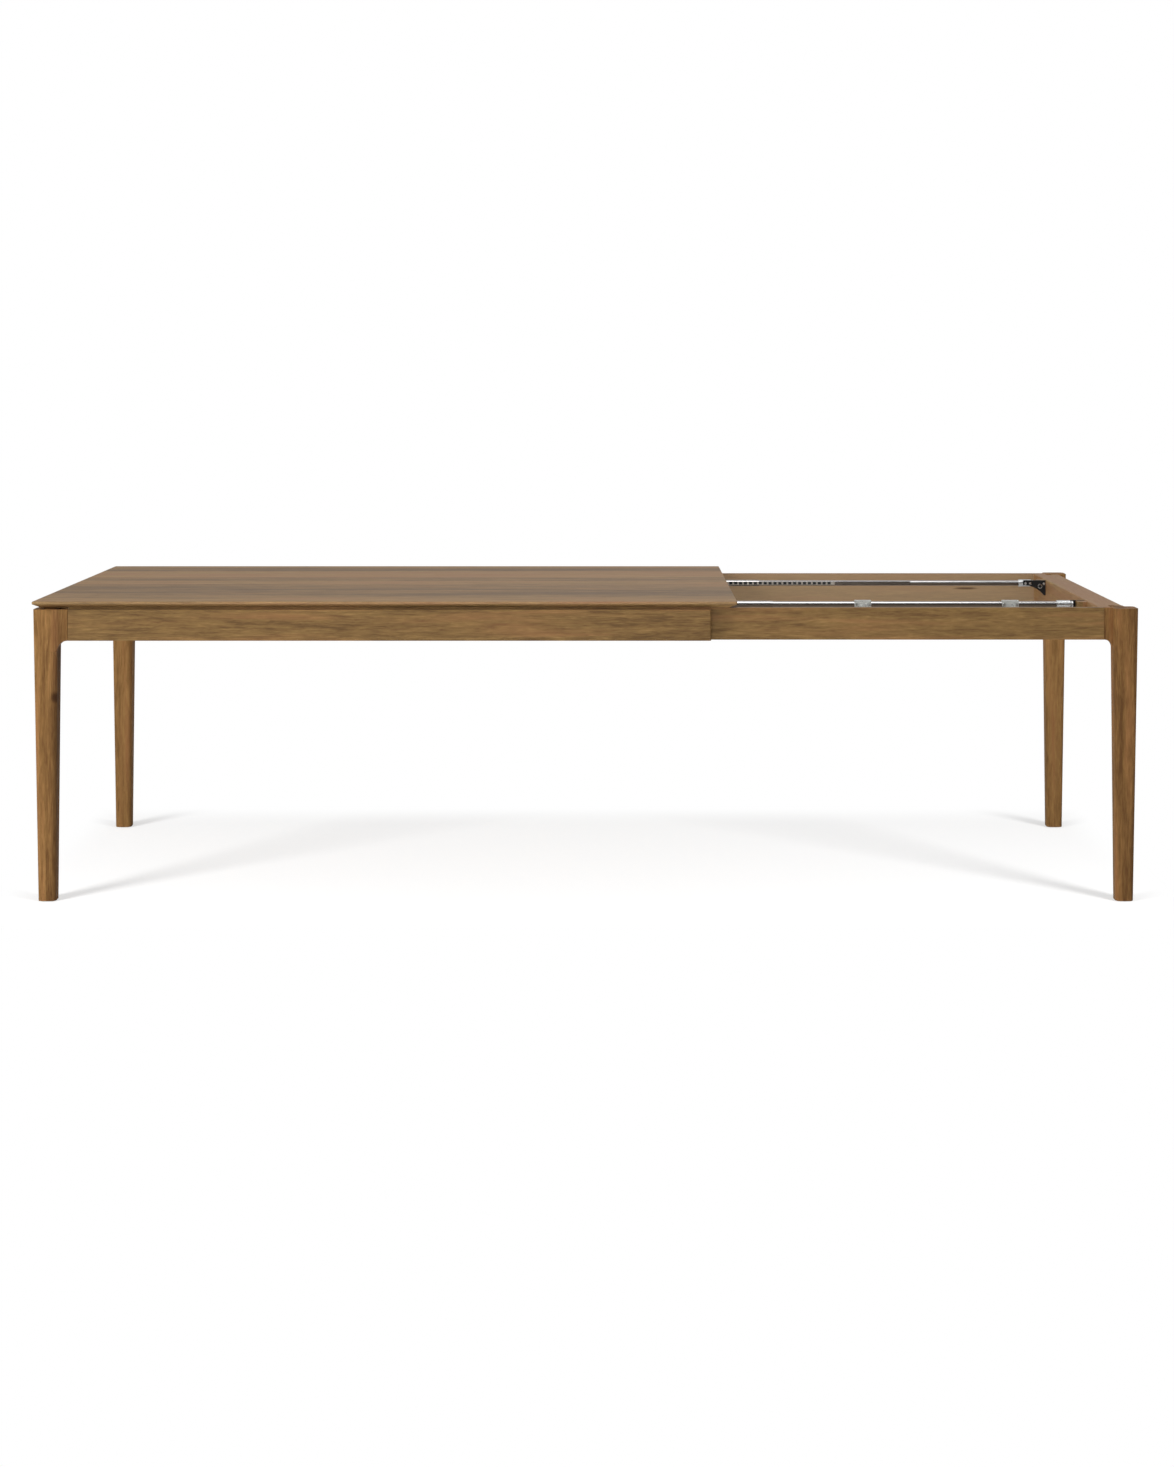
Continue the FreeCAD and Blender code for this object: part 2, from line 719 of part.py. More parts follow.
def tube(name, outer, inner, span, side):
    axis = (f"{side} * runner_side", "runner_level")
    return cut(name, rod(name + "_bar", outer, span, *axis), [rod(name + "_bore", inner, span, *axis)])


def build_clamps(side_name, side):
    """Two saddles that hold the fixed tube up, each with a foot on its outer side."""
    clamps = []
    screws = []
    reach = "outer_tube / 2 + clamp_wall"
    for index, middle in enumerate(("outer_left + clamp_inset", "outer_right - clamp_inset")):
        name = f"tube_clamp_{side_name}_{index}"
        along = (f"{middle} - clamp_length / 2", f"{middle} + clamp_length / 2")
        body = box(name + "_body", along,
                   across(side, f"runner_side - ({reach})", f"runner_side + {reach}"),
                   ("runner_level - outer_tube / 2 - clamp_wall", "underside"))
        foot = box(name + "_foot", along,
                   across(side, "runner_side", f"runner_side + {reach} + clamp_foot"),
                   ("underside - clamp_foot_height", "underside"))
        channel = box(name + "_channel", along,
                      across(side, "runner_side - outer_tube / 2", "runner_side + outer_tube / 2"),
                      ("runner_level", "underside"))
        bed = rod(name + "_bed", "outer_tube", along, f"{side} * runner_side", "runner_level")
        hollow = fuse(name + "_hollow", [channel, bed])
        holders = []
        for way in (-1, 1):
            at = (f"{middle} + {way} * clamp_screw_spacing / 2",
                  f"{side} * (runner_side + {reach} + clamp_foot / 2)")
            holders.append(screw(f"{name}_screw_{way + 1}", "z", "underside - clamp_foot_height", 1, at,
                                 kind="small", bite="clamp_foot_height + screw_bite"))
        clamps.append(cut(name, fuse(name + "_blank", [body, foot]), [hollow] + holders))
        screws += holders
    return clamps, screws


def build_cage(side_name, side):
    """The perforated strip that leaves the middle tube along the slot of the end tube."""
    strip_y = across(side, "cage_face", "cage_face + cage_thickness")
    strip_z = ("runner_level - cage_height / 2", "runner_level + cage_height / 2")
    strip = box(f"cage_{side_name}_strip", ("cage_left", "cage_right"), strip_y, strip_z)
    room = size("cage_right - window_left - 2 * insert_margin - insert_length")
    count = int(room / size("insert_pitch")) + 1
    inserts = []
    for index in range(count):
        start = f"cage_right - insert_margin - insert_length - {index} * insert_pitch"
        inserts.append(box(f"cage_insert_{side_name}_{index}", (start, f"{start} + insert_length"),
                           across(side, "cage_face - insert_stand", "cage_face + cage_thickness"),
                           ("runner_level - insert_height / 2", "runner_level + insert_height / 2")))
    pins = []
    for index in range(2):
        x = f"window_left - cage_root * {index + 1} / 3"
        depth = across(side, "runner_side - middle_tube", "cage_face + cage_thickness")
        pins.append(rod(f"cage_pin_{side_name}_{index}", "cage_pin", x, depth, "runner_level"))
    keep(cut(f"runner_cage_{side_name}", strip, inserts + pins))
    keep(group(f"cage_inserts_{side_name}", inserts))
    return pins


def build_runner(side_name, side):
    """One telescopic runner: fixed tube, middle tube and end tube with its fittings."""
    keep(tube(f"outer_tube_{side_name}", "outer_tube", "middle_tube + 2 * tube_clearance",
              ("outer_left", "outer_right"), side))
    pins = build_cage(side_name, side)
    middle = tube(f"middle_tube_{side_name}_plain", "middle_tube", "inner_tube + 2 * tube_clearance",
                  ("middle_left", "middle_right"), side)
    pinned = [rod_trim(pin, side_name, index, side) for index, pin in enumerate(pins)]
    window = box(f"middle_tube_{side_name}_window", ("window_left", "middle_right"),
                 across(side, "runner_side - middle_tube", "runner_side - inner_tube / 4"),
                 ("runner_level - cage_height / 2 - cage_play", "runner_level + cage_height / 2 + cage_play"))
    keep(cut(f"middle_tube_{side_name}", middle, [window] + pinned))
    keep(group(f"cage_pins_{side_name}", pinned))
    bar = tube(f"inner_tube_{side_name}_plain", "inner_tube", "inner_tube - 2 * inner_tube_wall",
               ("inner_left", "inner_right"), side)
    slot = box(f"inner_tube_{side_name}_slot",
               ("inner_left", "cage_right + cage_share * travel + insert_margin"),
               across(side, "runner_side - inner_tube", "cage_face + cage_thickness + cage_play"),
               ("runner_level - cage_height / 2 - cage_play", "runner_level + cage_height / 2 + cage_play"))
    return bar, slot


def rod_trim(pin, side_name, index, side):
    """A pin with its outer end dressed flush to the middle tube."""
    skin = rod(f"cage_pin_{side_name}_{index}_skin", "middle_tube", ("middle_left", "middle_right"),
               f"{side} * runner_side", "runner_level")
    piece = document.addObject("Part::Common", f"cage_pin_{side_name}_{index}_flush")
    piece.Base = pin
    piece.Tool = skin
    return piece


def build_tube_end(side_name, side, bar, openings):
    """The end tube itself, and the collar, cap, gusset plate and block that tie it to the beam."""
    axis = (f"{side} * runner_side", "runner_level")
    collar_span = ("collar_right - collar_length", "collar_right")
    collar_bar = rod(f"tube_collar_{side_name}_bar", "collar_diameter", collar_span, *axis)
    collar_bore = rod(f"tube_collar_{side_name}_bore", "inner_tube", collar_span, *axis)
    plug = rod(f"tube_cap_{side_name}_plug", "inner_tube - 2 * inner_tube_wall",
               ("inner_right - cap_plug", "inner_right + lap"), *axis)
    lid = rod(f"tube_cap_{side_name}_lid", "cap_diameter",
              ("inner_right", "inner_right + cap_thickness"), *axis)
    cap = fuse(f"tube_cap_{side_name}", [plug, lid])
    plate = box(f"gusset_{side_name}_blank", ("gusset_left", "beam_in"),
                across(side, "gusset_in", "gusset_out"), ("gusset_bottom", "gusset_top"))
    bite = rod(f"gusset_{side_name}_bite", "2 * gusset_round", "gusset_left",
               across(side, "gusset_in", "gusset_out"), "gusset_top - gusset_arm - gusset_round")
    block = box(f"runner_block_{side_name}_blank", ("beam_in - runner_block_length", "beam_in"),
                across(side, "gusset_out", "gusset_out + runner_block_depth"),
                ("gusset_top - runner_block_drop - runner_block_height", "gusset_top - runner_block_drop"))
    collar_screws = [
        screw(f"collar_screw_{side_name}_{index}", "y", f"{side} * gusset_in", side,
              (f"collar_right - collar_screw_edge - {index} * collar_screw_spacing", "runner_level"),
              kind="small", bite="gusset_thickness + (collar_diameter - inner_tube) / 2")
        for index in range(2)
    ]
    block_screw = screw(f"block_screw_{side_name}", "y", f"{side} * gusset_in", side,
                        ("beam_in - block_screw_edge", "gusset_top - gusset_screw_drop"),
                        kind="small", bite="gusset_thickness + screw_bite")
    bolt_at = ("beam_in - big_bolt_edge", "gusset_top - big_bolt_drop")
    under_head = "gusset_in - washer_thickness"
    bolt_shank = rod(f"gusset_bolt_{side_name}_shank", "big_bolt_diameter", bolt_at[0],
                     across(side, under_head, "gusset_in + big_bolt_reach"), bolt_at[1])
    bolt_washer = rod(f"gusset_washer_{side_name}_disc", "big_bolt_washer", bolt_at[0],
                      across(side, under_head, "gusset_in"), bolt_at[1])
    bolt_head = document.addObject("Part::Prism", f"gusset_bolt_{side_name}_head")
    bolt_head.Polygon = 6
    bolt_head.setExpression("Circumradius", formula("big_bolt_head / 2"))
    bolt_head.setExpression("Height", formula("big_bolt_head_height"))
    head_span = across(side, f"{under_head} - big_bolt_head_height", under_head)
    place(bolt_head, bolt_at[0], head_span[0], bolt_at[1], AXIS_TURNS["y"])
    bolt = fuse(f"gusset_bolt_{side_name}", [bolt_shank, bolt_head])
    keep(cut(f"inner_tube_{side_name}", bar, openings))
    keep(cut(f"tube_collar_{side_name}", collar_bar, [collar_bore] + collar_screws))
    keep(cap)
    keep(cut(f"gusset_{side_name}", plate, [bite, bolt, block_screw] + collar_screws))
    keep(cut(f"runner_block_{side_name}", block, [bolt, block_screw]))
    washer = cut(f"gusset_washer_{side_name}", bolt_washer, [bolt])
    return collar_screws + [block_screw], bolt, washer


def build_rests(side):
    """Two clear saddles on the end tube, with a skirt on the outer side. Returns their screws."""
    rests = []
    screws = []
    top = "underside - rest_top_play"
    outer_face = "runner_side + inner_tube / 2 + rest_wall"
    for index, middle in enumerate(("rest_left", "rest_right")):
        name = f"leaf_rest_{index}"
        along = (f"{middle} - rest_length / 2", f"{middle} + rest_length / 2")
        cap = box(name + "_cap", along, across(side, "runner_side - inner_tube / 4", outer_face),
                  ("runner_level", top))
        skirt = box(name + "_skirt", along, across(side, "runner_side", outer_face),
                    ("runner_level - rest_skirt", top))
        bed = rod(name + "_bed", "inner_tube", along, f"{side} * runner_side", "runner_level")
        relief = box(name + "_relief", along,
                     across(side, "runner_side - inner_tube", "runner_side + inner_tube / 2"),
                     ("runner_level - rest_skirt", "runner_level"))
        hollow = fuse(name + "_hollow", [bed, relief])
        holders = []
        for way in (-1, 1):
            x = f"{middle} + {way} * (rest_length / 2 - rest_screw_inset)"
            holders.append(screw(f"{name}_screw_{way + 1}", "y", f"{side} * ({outer_face})", -side,
                                 (x, "runner_level"), kind="small", bite="rest_wall + inner_tube_wall"))
        rests.append(cut(name, fuse(name + "_blank", [cap, skirt]), [hollow] + holders))
        screws += holders
    keep(group("leaf_rests", rests))
    return keep(group("rest_screws", screws)).Links


# Stored leaves

def build_storage():
    """Folded rails under the top, the batten at their end and the screws that hold them."""
    section = [
        ("shelf_in", "lower_shelf - storage_gauge"), ("storage_out", "lower_shelf - storage_gauge"),
        ("storage_out", "underside - storage_gauge"),
        ("storage_out + storage_flange", "underside - storage_gauge"),
        ("storage_out + storage_flange", "underside"), ("storage_in", "underside"),
        ("storage_in", "upper_shelf"), ("shelf_in", "upper_shelf"),
        ("shelf_in", "upper_shelf - storage_gauge"), ("storage_in", "upper_shelf - storage_gauge"),
        ("storage_in", "lower_shelf"), ("shelf_in", "lower_shelf"),
    ]
    screws = []
    for side_name, side in SIDES.items():
        blank = run(f"storage_rail_{side_name}_blank", side, section, ("storage_left", "storage_right"))
        holders = []
        places = spread("storage_left + storage_screw_edge", "storage_right - storage_screw_edge",
                        STORAGE_SCREWS)
        for index, x in enumerate(places):
            at = (x, f"{side} * (storage_out + storage_flange / 2)")
            holders.append(screw(f"storage_screw_{side_name}_{index}", "z",
                                 "underside - storage_gauge", 1, at, kind="small",
                                 bite="storage_gauge + screw_bite"))
        keep(cut(f"storage_rail_{side_name}", blank, holders))
        screws += holders
    batten_half = "shelf_in - batten_play"
    blank = box("leaf_batten_blank", ("batten_right - batten_width", "batten_right"),
                (f"-({batten_half})", batten_half), ("underside - batten_height", "underside"))
    holders = []
    wells = []
    for index, y in enumerate(spread(f"-({batten_half}) / 2", f"({batten_half}) / 2", 2)):
        at = ("batten_right - batten_width / 2", y)
        seat = "underside - screw_bite"
        holders.append(screw(f"batten_screw_{index}", "z", seat, 1, at, kind="small", bite="2 * screw_bite"))
        wells.append(rod(f"batten_screw_{index}_well", "small_screw_head", *at,
                         ("underside - batten_height", seat)))
    keep(cut("leaf_batten", blank, holders + wells))
    screws += holders
    keep(group("storage_screws", screws))
    leaves = {
        "leaf_upper": ("upper_leaf", ("left", "right", "back")),
        "leaf_lower": ("lower_leaf", ("left", "right")),
    }
    for name, (level, bevels) in leaves.items():
        leaf = panel(name, "top_depth", "leaf_width", bevels)
        leaf.Label = name
        place(leaf, "leaf_left", "-leaf_width / 2", level)
        keep(leaf)
    return screws


def build_table():
    top = panel("table_top", "top_length", "top_depth", ("left", "right", "front", "back"))
    place(top, "left_nose", "-top_depth / 2", "underside")
    top_screws = build_fixed_frame(top)
    build_sliding_frame()
    clamps = []
    clamp_screws = []
    gusset_screws = []
    gusset_bolts = []
    gusset_washers = []
    for side_name, side in SIDES.items():
        bar, slot = build_runner(side_name, side)
        saddles, saddle_screws = build_clamps(side_name, side)
        clamps += saddles
        clamp_screws += saddle_screws
        rest_screws = build_rests(side) if side_name == RESTED_SIDE else []
        plate_screws, bolt, washer = build_tube_end(side_name, side, bar, [slot] + rest_screws)
        gusset_screws += plate_screws
        gusset_bolts.append(bolt)
        gusset_washers.append(washer)
    keep(group("tube_clamps", clamps))
    keep(group("clamp_screws", clamp_screws))
    keep(group("gusset_screws", gusset_screws))
    keep(group("gusset_bolts", gusset_bolts))
    keep(group("gusset_washers", gusset_washers))
    storage_screws = build_storage()
    keep(cut("table_top", top, top_screws + clamp_screws + storage_screws))


def check_and_write():
    """Stops at any failed object, then writes each sub-part to its own file."""
    for item in document.Objects:
        if "Invalid" in item.State or "Error" in item.State:
            raise RuntimeError(f"{item.Label} failed: {item.State}")
    os.makedirs("parts", exist_ok=True)
    for node in nodes:
        if node.Shape.isNull() or not node.Shape.isValid():
            raise RuntimeError(f"{node.Label} has no sound shape")
    for node in nodes:
        node.Shape.exportStep(f"parts/{node.Label}.step")
        print(node.Label, len(node.Shape.Solids), "solids", round(node.Shape.Volume / 1000, 1), "cm3")


make_sheet("Sizes", {alias: str(value) for alias, value in SIZES.items()})
make_sheet("Layout", {alias: "=" + formula(text, own_sheet=True) for alias, text in LAYOUT.items()})
build_table()
document.recompute()
check_and_write()
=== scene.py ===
"""Finishes and studio of an extending dining table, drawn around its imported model.

Metres, in the model's own frame: +X to the pulled-out end, +Y to the back, +Z up.
"""

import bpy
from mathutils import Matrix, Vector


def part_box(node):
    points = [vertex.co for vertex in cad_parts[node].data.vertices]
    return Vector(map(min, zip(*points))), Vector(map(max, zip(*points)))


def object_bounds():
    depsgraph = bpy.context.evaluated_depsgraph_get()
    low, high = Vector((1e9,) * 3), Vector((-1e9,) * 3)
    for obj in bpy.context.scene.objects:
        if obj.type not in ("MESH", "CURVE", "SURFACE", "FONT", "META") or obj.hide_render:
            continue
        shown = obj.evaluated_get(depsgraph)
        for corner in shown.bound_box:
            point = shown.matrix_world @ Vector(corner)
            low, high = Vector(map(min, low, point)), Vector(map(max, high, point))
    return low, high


bl_info = {
    "name": "Extending Dining Table",
    "version": (1, 0, 0),
    "blender": (4, 5, 0),
    "location": "View3D > Sidebar > Table",
    "description": "Oiled teak, steel runners and a white studio for an extending dining table",
    "category": "Object",
}

import bpy
from mathutils import Vector

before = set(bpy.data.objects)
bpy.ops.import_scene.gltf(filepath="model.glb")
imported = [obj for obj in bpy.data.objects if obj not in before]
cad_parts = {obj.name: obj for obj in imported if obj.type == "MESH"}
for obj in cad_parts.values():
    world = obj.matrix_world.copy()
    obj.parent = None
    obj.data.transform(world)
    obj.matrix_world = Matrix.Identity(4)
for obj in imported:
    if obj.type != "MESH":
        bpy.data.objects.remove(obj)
cad_low, cad_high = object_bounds()

MM = 0.001

# How long the marks in the teak are along its fibres
BAND_LENGTH = 500 * MM
FIGURE_LENGTH = 90 * MM
FLECK_LENGTH = 30 * MM
LINE_LENGTH = 60 * MM
PORE_LENGTH = 14 * MM

# How much each kind of mark changes the tone of the teak, and the tone that they are added to
FIGURE_SHARE = 0.3
FLECK_SHARE = 0.2
LINE_SHARE = 0.2
PORE_SHARE = 0.1
PLAIN_TONE = 0.1

# Tones at which the teak has its dark, middle and light colour
DARK_TONE = 0.36
MIDDLE_TONE = 0.5
LIGHT_TONE = 0.66

# Where the red bands begin and are full, how red they get, and how much a stave's chance adds to them
RED_BEGINS = 0.52
RED_FULL = 0.86
MOST_RED = 0.75
STAVE_RED = 0.3

# How far a stave's grain is slid along it at most, so that no two staves look alike
STAVE_SLIDE = 9.0

# The real glue line is a tenth of a millimetre, drawn wider to each side so that it shows
SEAM_REACH = 1.2 * MM
SEAM_SHARE = 0.35

# Share of raw wood on the sanded inner faces
SANDED_SHARE = 0.6

# At which parts of its reach a knot or a band of painted shade is full and gone, and how much the grain
# moves its edge
MARK_FULL = 0.7
MARK_GONE = 1.5
MARK_RAGGED = 0.8

# Nearly all of a noise lies between these two
NOISE_LOW = 0.3
NOISE_HIGH = 0.7

# Settings that many nodes share, and the colour sockets of a mix of two colours
SCALE_AND_ADD = {"operation": "MULTIPLY_ADD"}
SMOOTH = {"interpolation_type": "SMOOTHSTEP"}
BLEND = {"data_type": "RGBA", "blend_type": "MIX"}
TINT = {"data_type": "RGBA", "blend_type": "MULTIPLY"}
SHARE = 0
UNDER = 6
OVER = 7
MIXED = 2

# Floor: its side, the depth of the bounce paper, and where the shadows begin to fade and over what length
PAPER_SIDE = 120
BOUNCE_DEPTH = 1 * MM
SHADOW_EDGE = (cad_high.x - 34 * MM, cad_high.y - 20 * MM, 0)
SHADOW_FADE = (140 * MM, 280 * MM, 1)

# Walls: between which parts of a direction along one axis a surface passes into the next
CEILING_LIGHT = (0.25, 0.8)
CEILING_MIRRORED = (0.65, 0.95)
BACK_MIRRORED = (0.2, 0.8)
BACK_BRIGHTENS = (-0.25, 0.15)
BACK_LEFT_SHARE = 0.7

# Lamps: name, place, width and the setting that holds the power
TABLE_LAMPS = (
    ("key lamp", (-5.0, -3.4, 3.2), 2.6, "key"),
    ("fill lamp", (5.2, -3.0, 3.0), 2.6, "fill"),
    ("overhead lamp", (0.6, -1.6, 4.6), 2.4, "overhead"),
    ("front card", (-0.4, -7.4, 0.45), 3.0, "card"),
)
SHADOW_LAMPS = (
    ("left shadow lamp", (-5.0, -5.0, 2.4), 2.0, "shadow"),
    ("right shadow lamp", (5.0, -5.0, 2.4), 2.0, "shadow"),
)
LAMP_AIM = Vector((0, 0, 0.4))

# Width of the camera's sensor in millimetres
SENSOR_WIDTH = 36


def linear(colour):
    """An sRGB hex colour as linear red, green, blue and alpha."""
    parts = [int(colour[place:place + 2], 16) / 255 for place in (1, 3, 5)]
    return [part / 12.92 if part <= 0.04045 else ((part + 0.055) / 1.055) ** 2.4 for part in parts] + [1.0]


def colour_setting(name, description, colour):
    """A colour that a user may change."""
    return bpy.props.FloatVectorProperty(
        name=name, description=description, size=4, min=0, max=1, subtype="COLOR", default=linear(colour))


def length_setting(name, description, millimetres):
    """A length that a user may change."""
    return bpy.props.FloatProperty(
        name=name, description=description, default=millimetres * MM, min=0.01 * MM,
        unit="LENGTH", subtype="DISTANCE")


def power_setting(name, description, watts):
    """The power of a lamp."""
    return bpy.props.FloatProperty(name=name, description=description, default=watts, min=0, unit="POWER")


def brightness_setting(name, description, strength):
    """The brightness of a wall or the ceiling, where 1 is white."""
    return bpy.props.FloatProperty(name=name, description=description, default=strength, min=0)


def share_setting(name, description, share):
    """A share between none and all."""
    return bpy.props.FloatProperty(
        name=name, description=description, default=share, min=0, max=1, subtype="FACTOR")


class TableWoodSettings(bpy.types.PropertyGroup):
    """Colours and grain of the wooden pieces."""
    light: colour_setting("Light Wood", "Early wood of the oiled teak", "#A1814F")
    middle: colour_setting("Middle Wood", "Most of the oiled teak", "#81643B")
    dark: colour_setting("Dark Wood", "Late wood and streaks of the oiled teak", "#604729")
    leg: colour_setting("Leg Tint", "What the warmer wood of the legs keeps of each colour", "#FFF2F2")
    red: colour_setting("Red Wood", "Reddish bands of the oiled teak", "#875D3C")
    raw: colour_setting("Raw Wood", "Inner faces that were sanded but not oiled", "#9C866C")
    # This colour also paints the band of shade down the inner edge of the front left leg.
    knot: colour_setting("Knot", "Knots and mineral streaks", "#3A2415")
    beech_light: colour_setting("Light Beech", "Light wood of the hidden blocks", "#D9B98C")
    beech_dark: colour_setting("Dark Beech", "Dark wood of the hidden blocks", "#B98F60")
    stave_width: length_setting("Stave Width", "Width of the staves that the top is glued from", 96)
    band_width: length_setting("Band Width", "Width of the reddish bands", 26)
    figure_width: length_setting("Figure Width", "Width of the broad figure of the grain", 9)
    fleck_width: length_setting("Fleck Width", "Width of the short flecks of the figure", 5)
    grain_width: length_setting("Grain Width", "Width of the fine lines of the grain", 1.6)
    pore_width: length_setting("Pore Width", "Width of the open pores, drawn coarse enough to show", 0.9)


class TableFittingSettings(bpy.types.PropertyGroup):
    """Colours of the metal and plastic pieces."""
    tube: colour_setting("Tube Steel", "Drawn steel of the runners", "#A6A4A3")
    # Painted shade: the runners' faces that turn down are drawn in this darker colour.
    painted_shade: colour_setting("Shaded Steel", "Dull underside of the runners, where grease stays", "#5E5348")
    strip: colour_setting("Strip Steel", "Rolled steel of the perforated strips", "#A39B90")
    zinc: colour_setting("Zinc Plate", "Screws and bolts", "#C9CBCB")
    black_coat: colour_setting("Black Coat", "Powder coat of the gusset plates", "#060607")
    grey_coat: colour_setting("Grey Coat", "Powder coat of the storage rails", "#8A8C8C")
    black_nylon: colour_setting("Black Nylon", "Inserts and tube clamps", "#0B0B0D")
    white_nylon: colour_setting("White Nylon", "Foot glides and apron glides", "#E4E2DA")
    clear: colour_setting("Clear Plastic", "Rests that carry a leaf", "#C8CAC6")


class TableStudioSettings(bpy.types.PropertyGroup):
    """Camera, floor and light of the studio."""
    lens: bpy.props.FloatProperty(
        name="Lens", description="Focal length of the camera", default=57.0, min=10, unit="CAMERA")
    camera_place: bpy.props.FloatVectorProperty(
        name="Camera Place", description="Where the camera stands", default=(0.0605, -6.386, 1.385),
        unit="LENGTH", subtype="TRANSLATION")
    camera_shift: bpy.props.FloatVectorProperty(
        name="Camera Shift", description="Sideways and upward shift of the view", size=2,
        default=(-0.0151, -0.2569))
    ambient: brightness_setting("Ambient", "Strength of the white walls as light", 0.45)
    far_wall: share_setting("Far Wall", "Share of that light that the wall at the right gives", 0.6)
    ceiling: brightness_setting("Ceiling", "Strength of the ceiling as light", 0.15)
    mirrored_wall: brightness_setting("Mirrored Walls", "Brightness of the walls in a shiny face", 0.3)
    mirrored_back: brightness_setting(
        "Mirrored Back Wall", "Brightness of the wall behind the table in a shiny face", 0.75)
    key: power_setting("Key Light", "Power of the lamp at the left", 215.0)
    fill: power_setting("Fill Light", "Power of the lamp at the right", 30.0)
    overhead: power_setting("Overhead Light", "Power of the lamp above", 80.0)
    card: power_setting("Front Card", "Power of the low card of light before the table", 145.0)
    shadow: power_setting(
        "Shadow Lamps", "Power of the two lamps that draw the shadows on the floor", 650.0)
    floor: colour_setting("Floor", "Paper of the floor", "#FFFFFF")
    shadow_share: share_setting("Shadow Share", "How much of the shadow the white floor shows", 0.5)


def add(tree, kind, settings=None, inputs=None):
    """A new node with its settings, and its inputs set to values or linked to outputs."""
    made = tree.nodes.new(kind)
    for name, value in (settings or {}).items():
        setattr(made, name, value)
    for name, value in (inputs or {}).items():
        if isinstance(value, bpy.types.NodeSocket):
            tree.links.new(value, made.inputs[name])
        else:
            made.inputs[name].default_value = value
    return made


def new_material(name):
    """A material without nodes, and its node tree."""
    material = bpy.data.materials.new(name)
    material.use_nodes = True
    material.node_tree.nodes.clear()
    return material, material.node_tree


def close_material(tree, shader):
    """Makes the shader the surface of its material."""
    add(tree, "ShaderNodeOutputMaterial", inputs={"Surface": shader.outputs["BSDF"]})


def dress(material, *names):
    """Gives the material to the named pieces of the model."""
    for name in names:
        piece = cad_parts[name]
        piece.data.materials.clear()
        piece.data.materials.append(material)


def grain_of(tree, along, stave_width, seed):
    """Wood whose fibres run along one axis, in staves that each have their own grain.

    Gives the place in the grain, each stave's chance, the count of staves, and the plain place and its
    first side across the fibres.
    """
    place = add(tree, "ShaderNodeTexCoord").outputs["Object"]
    split = add(tree, "ShaderNodeSeparateXYZ", inputs={"Vector": place})
    first, second = {"X": ("Y", "Z"), "Y": ("X", "Z"), "Z": ("X", "Y")}[along]
    across = split.outputs[first]
    count = add(tree, "ShaderNodeMath", SCALE_AND_ADD, {0: across, 1: 1 / stave_width, 2: seed})
    stave = add(tree, "ShaderNodeMath", {"operation": "FLOOR"}, {0: count.outputs[0]})
    chance = add(tree, "ShaderNodeTexWhiteNoise", {"noise_dimensions": "1D"}, {"W": stave.outputs[0]})
    slid = add(tree, "ShaderNodeMath", SCALE_AND_ADD, {
        0: chance.outputs["Value"], 1: STAVE_SLIDE, 2: split.outputs[along]})
    grain = add(tree, "ShaderNodeCombineXYZ", inputs={
        "X": slid.outputs[0], "Y": across, "Z": split.outputs[second]})
    return grain.outputs[0], chance.outputs["Value"], count.outputs[0], place, across


def stretched_noise(tree, grain, length, width, detail, distortion=0.0):
    """Noise whose cells are as long and as wide as the sizes say."""
    fitted = add(tree, "ShaderNodeMapping", {"vector_type": "POINT"}, {
        "Vector": grain, "Scale": (1 / length, 1 / width, 1 / width)})
    noise = add(tree, "ShaderNodeTexNoise", inputs={
        "Vector": fitted.outputs[0], "Scale": 1.0, "Detail": detail, "Roughness": 0.55,
        "Distortion": distortion})
    return noise.outputs["Fac"]


def teak_colour(tree, wood, tone, bands, chance):
    """Dark, middle or light wood by its tone, with some bands and staves redder than others."""
    ramp = add(tree, "ShaderNodeValToRGB", inputs={"Fac": tone})
    ramp.color_ramp.elements[0].position = DARK_TONE
    ramp.color_ramp.elements[0].color = wood.dark
    ramp.color_ramp.elements[1].position = LIGHT_TONE
    ramp.color_ramp.elements[1].color = wood.light
    ramp.color_ramp.elements.new(MIDDLE_TONE).color = wood.middle
    hue = add(tree, "ShaderNodeMath", SCALE_AND_ADD, {0: chance, 1: STAVE_RED, 2: bands})
    redness = add(tree, "ShaderNodeMapRange", SMOOTH, {
        "Value": hue.outputs[0], "From Min": RED_BEGINS, "From Max": RED_FULL,
        "To Min": 0.0, "To Max": MOST_RED})
    reddish = add(tree, "ShaderNodeMix", BLEND, {
        SHARE: redness.outputs["Result"], UNDER: ramp.outputs["Color"], OVER: wood.red})
    return reddish.outputs[MIXED]


def sanded_inside(tree, wood, colour, across, inner_face):
    """Paler, greyer wood on the faces toward the middle of the table, which have no oil."""
    depth = add(tree, "ShaderNodeMath", {"operation": "ABSOLUTE"}, {0: across})
    inside = add(tree, "ShaderNodeMath", {"operation": "LESS_THAN"}, {0: depth.outputs[0], 1: inner_face})
    sanded = add(tree, "ShaderNodeMix", BLEND, {SHARE: SANDED_SHARE, UNDER: colour, OVER: wood.raw})
    chosen = add(tree, "ShaderNodeMix", BLEND, {
        SHARE: inside.outputs[0], UNDER: colour, OVER: sanded.outputs[MIXED]})
    return chosen.outputs[MIXED]


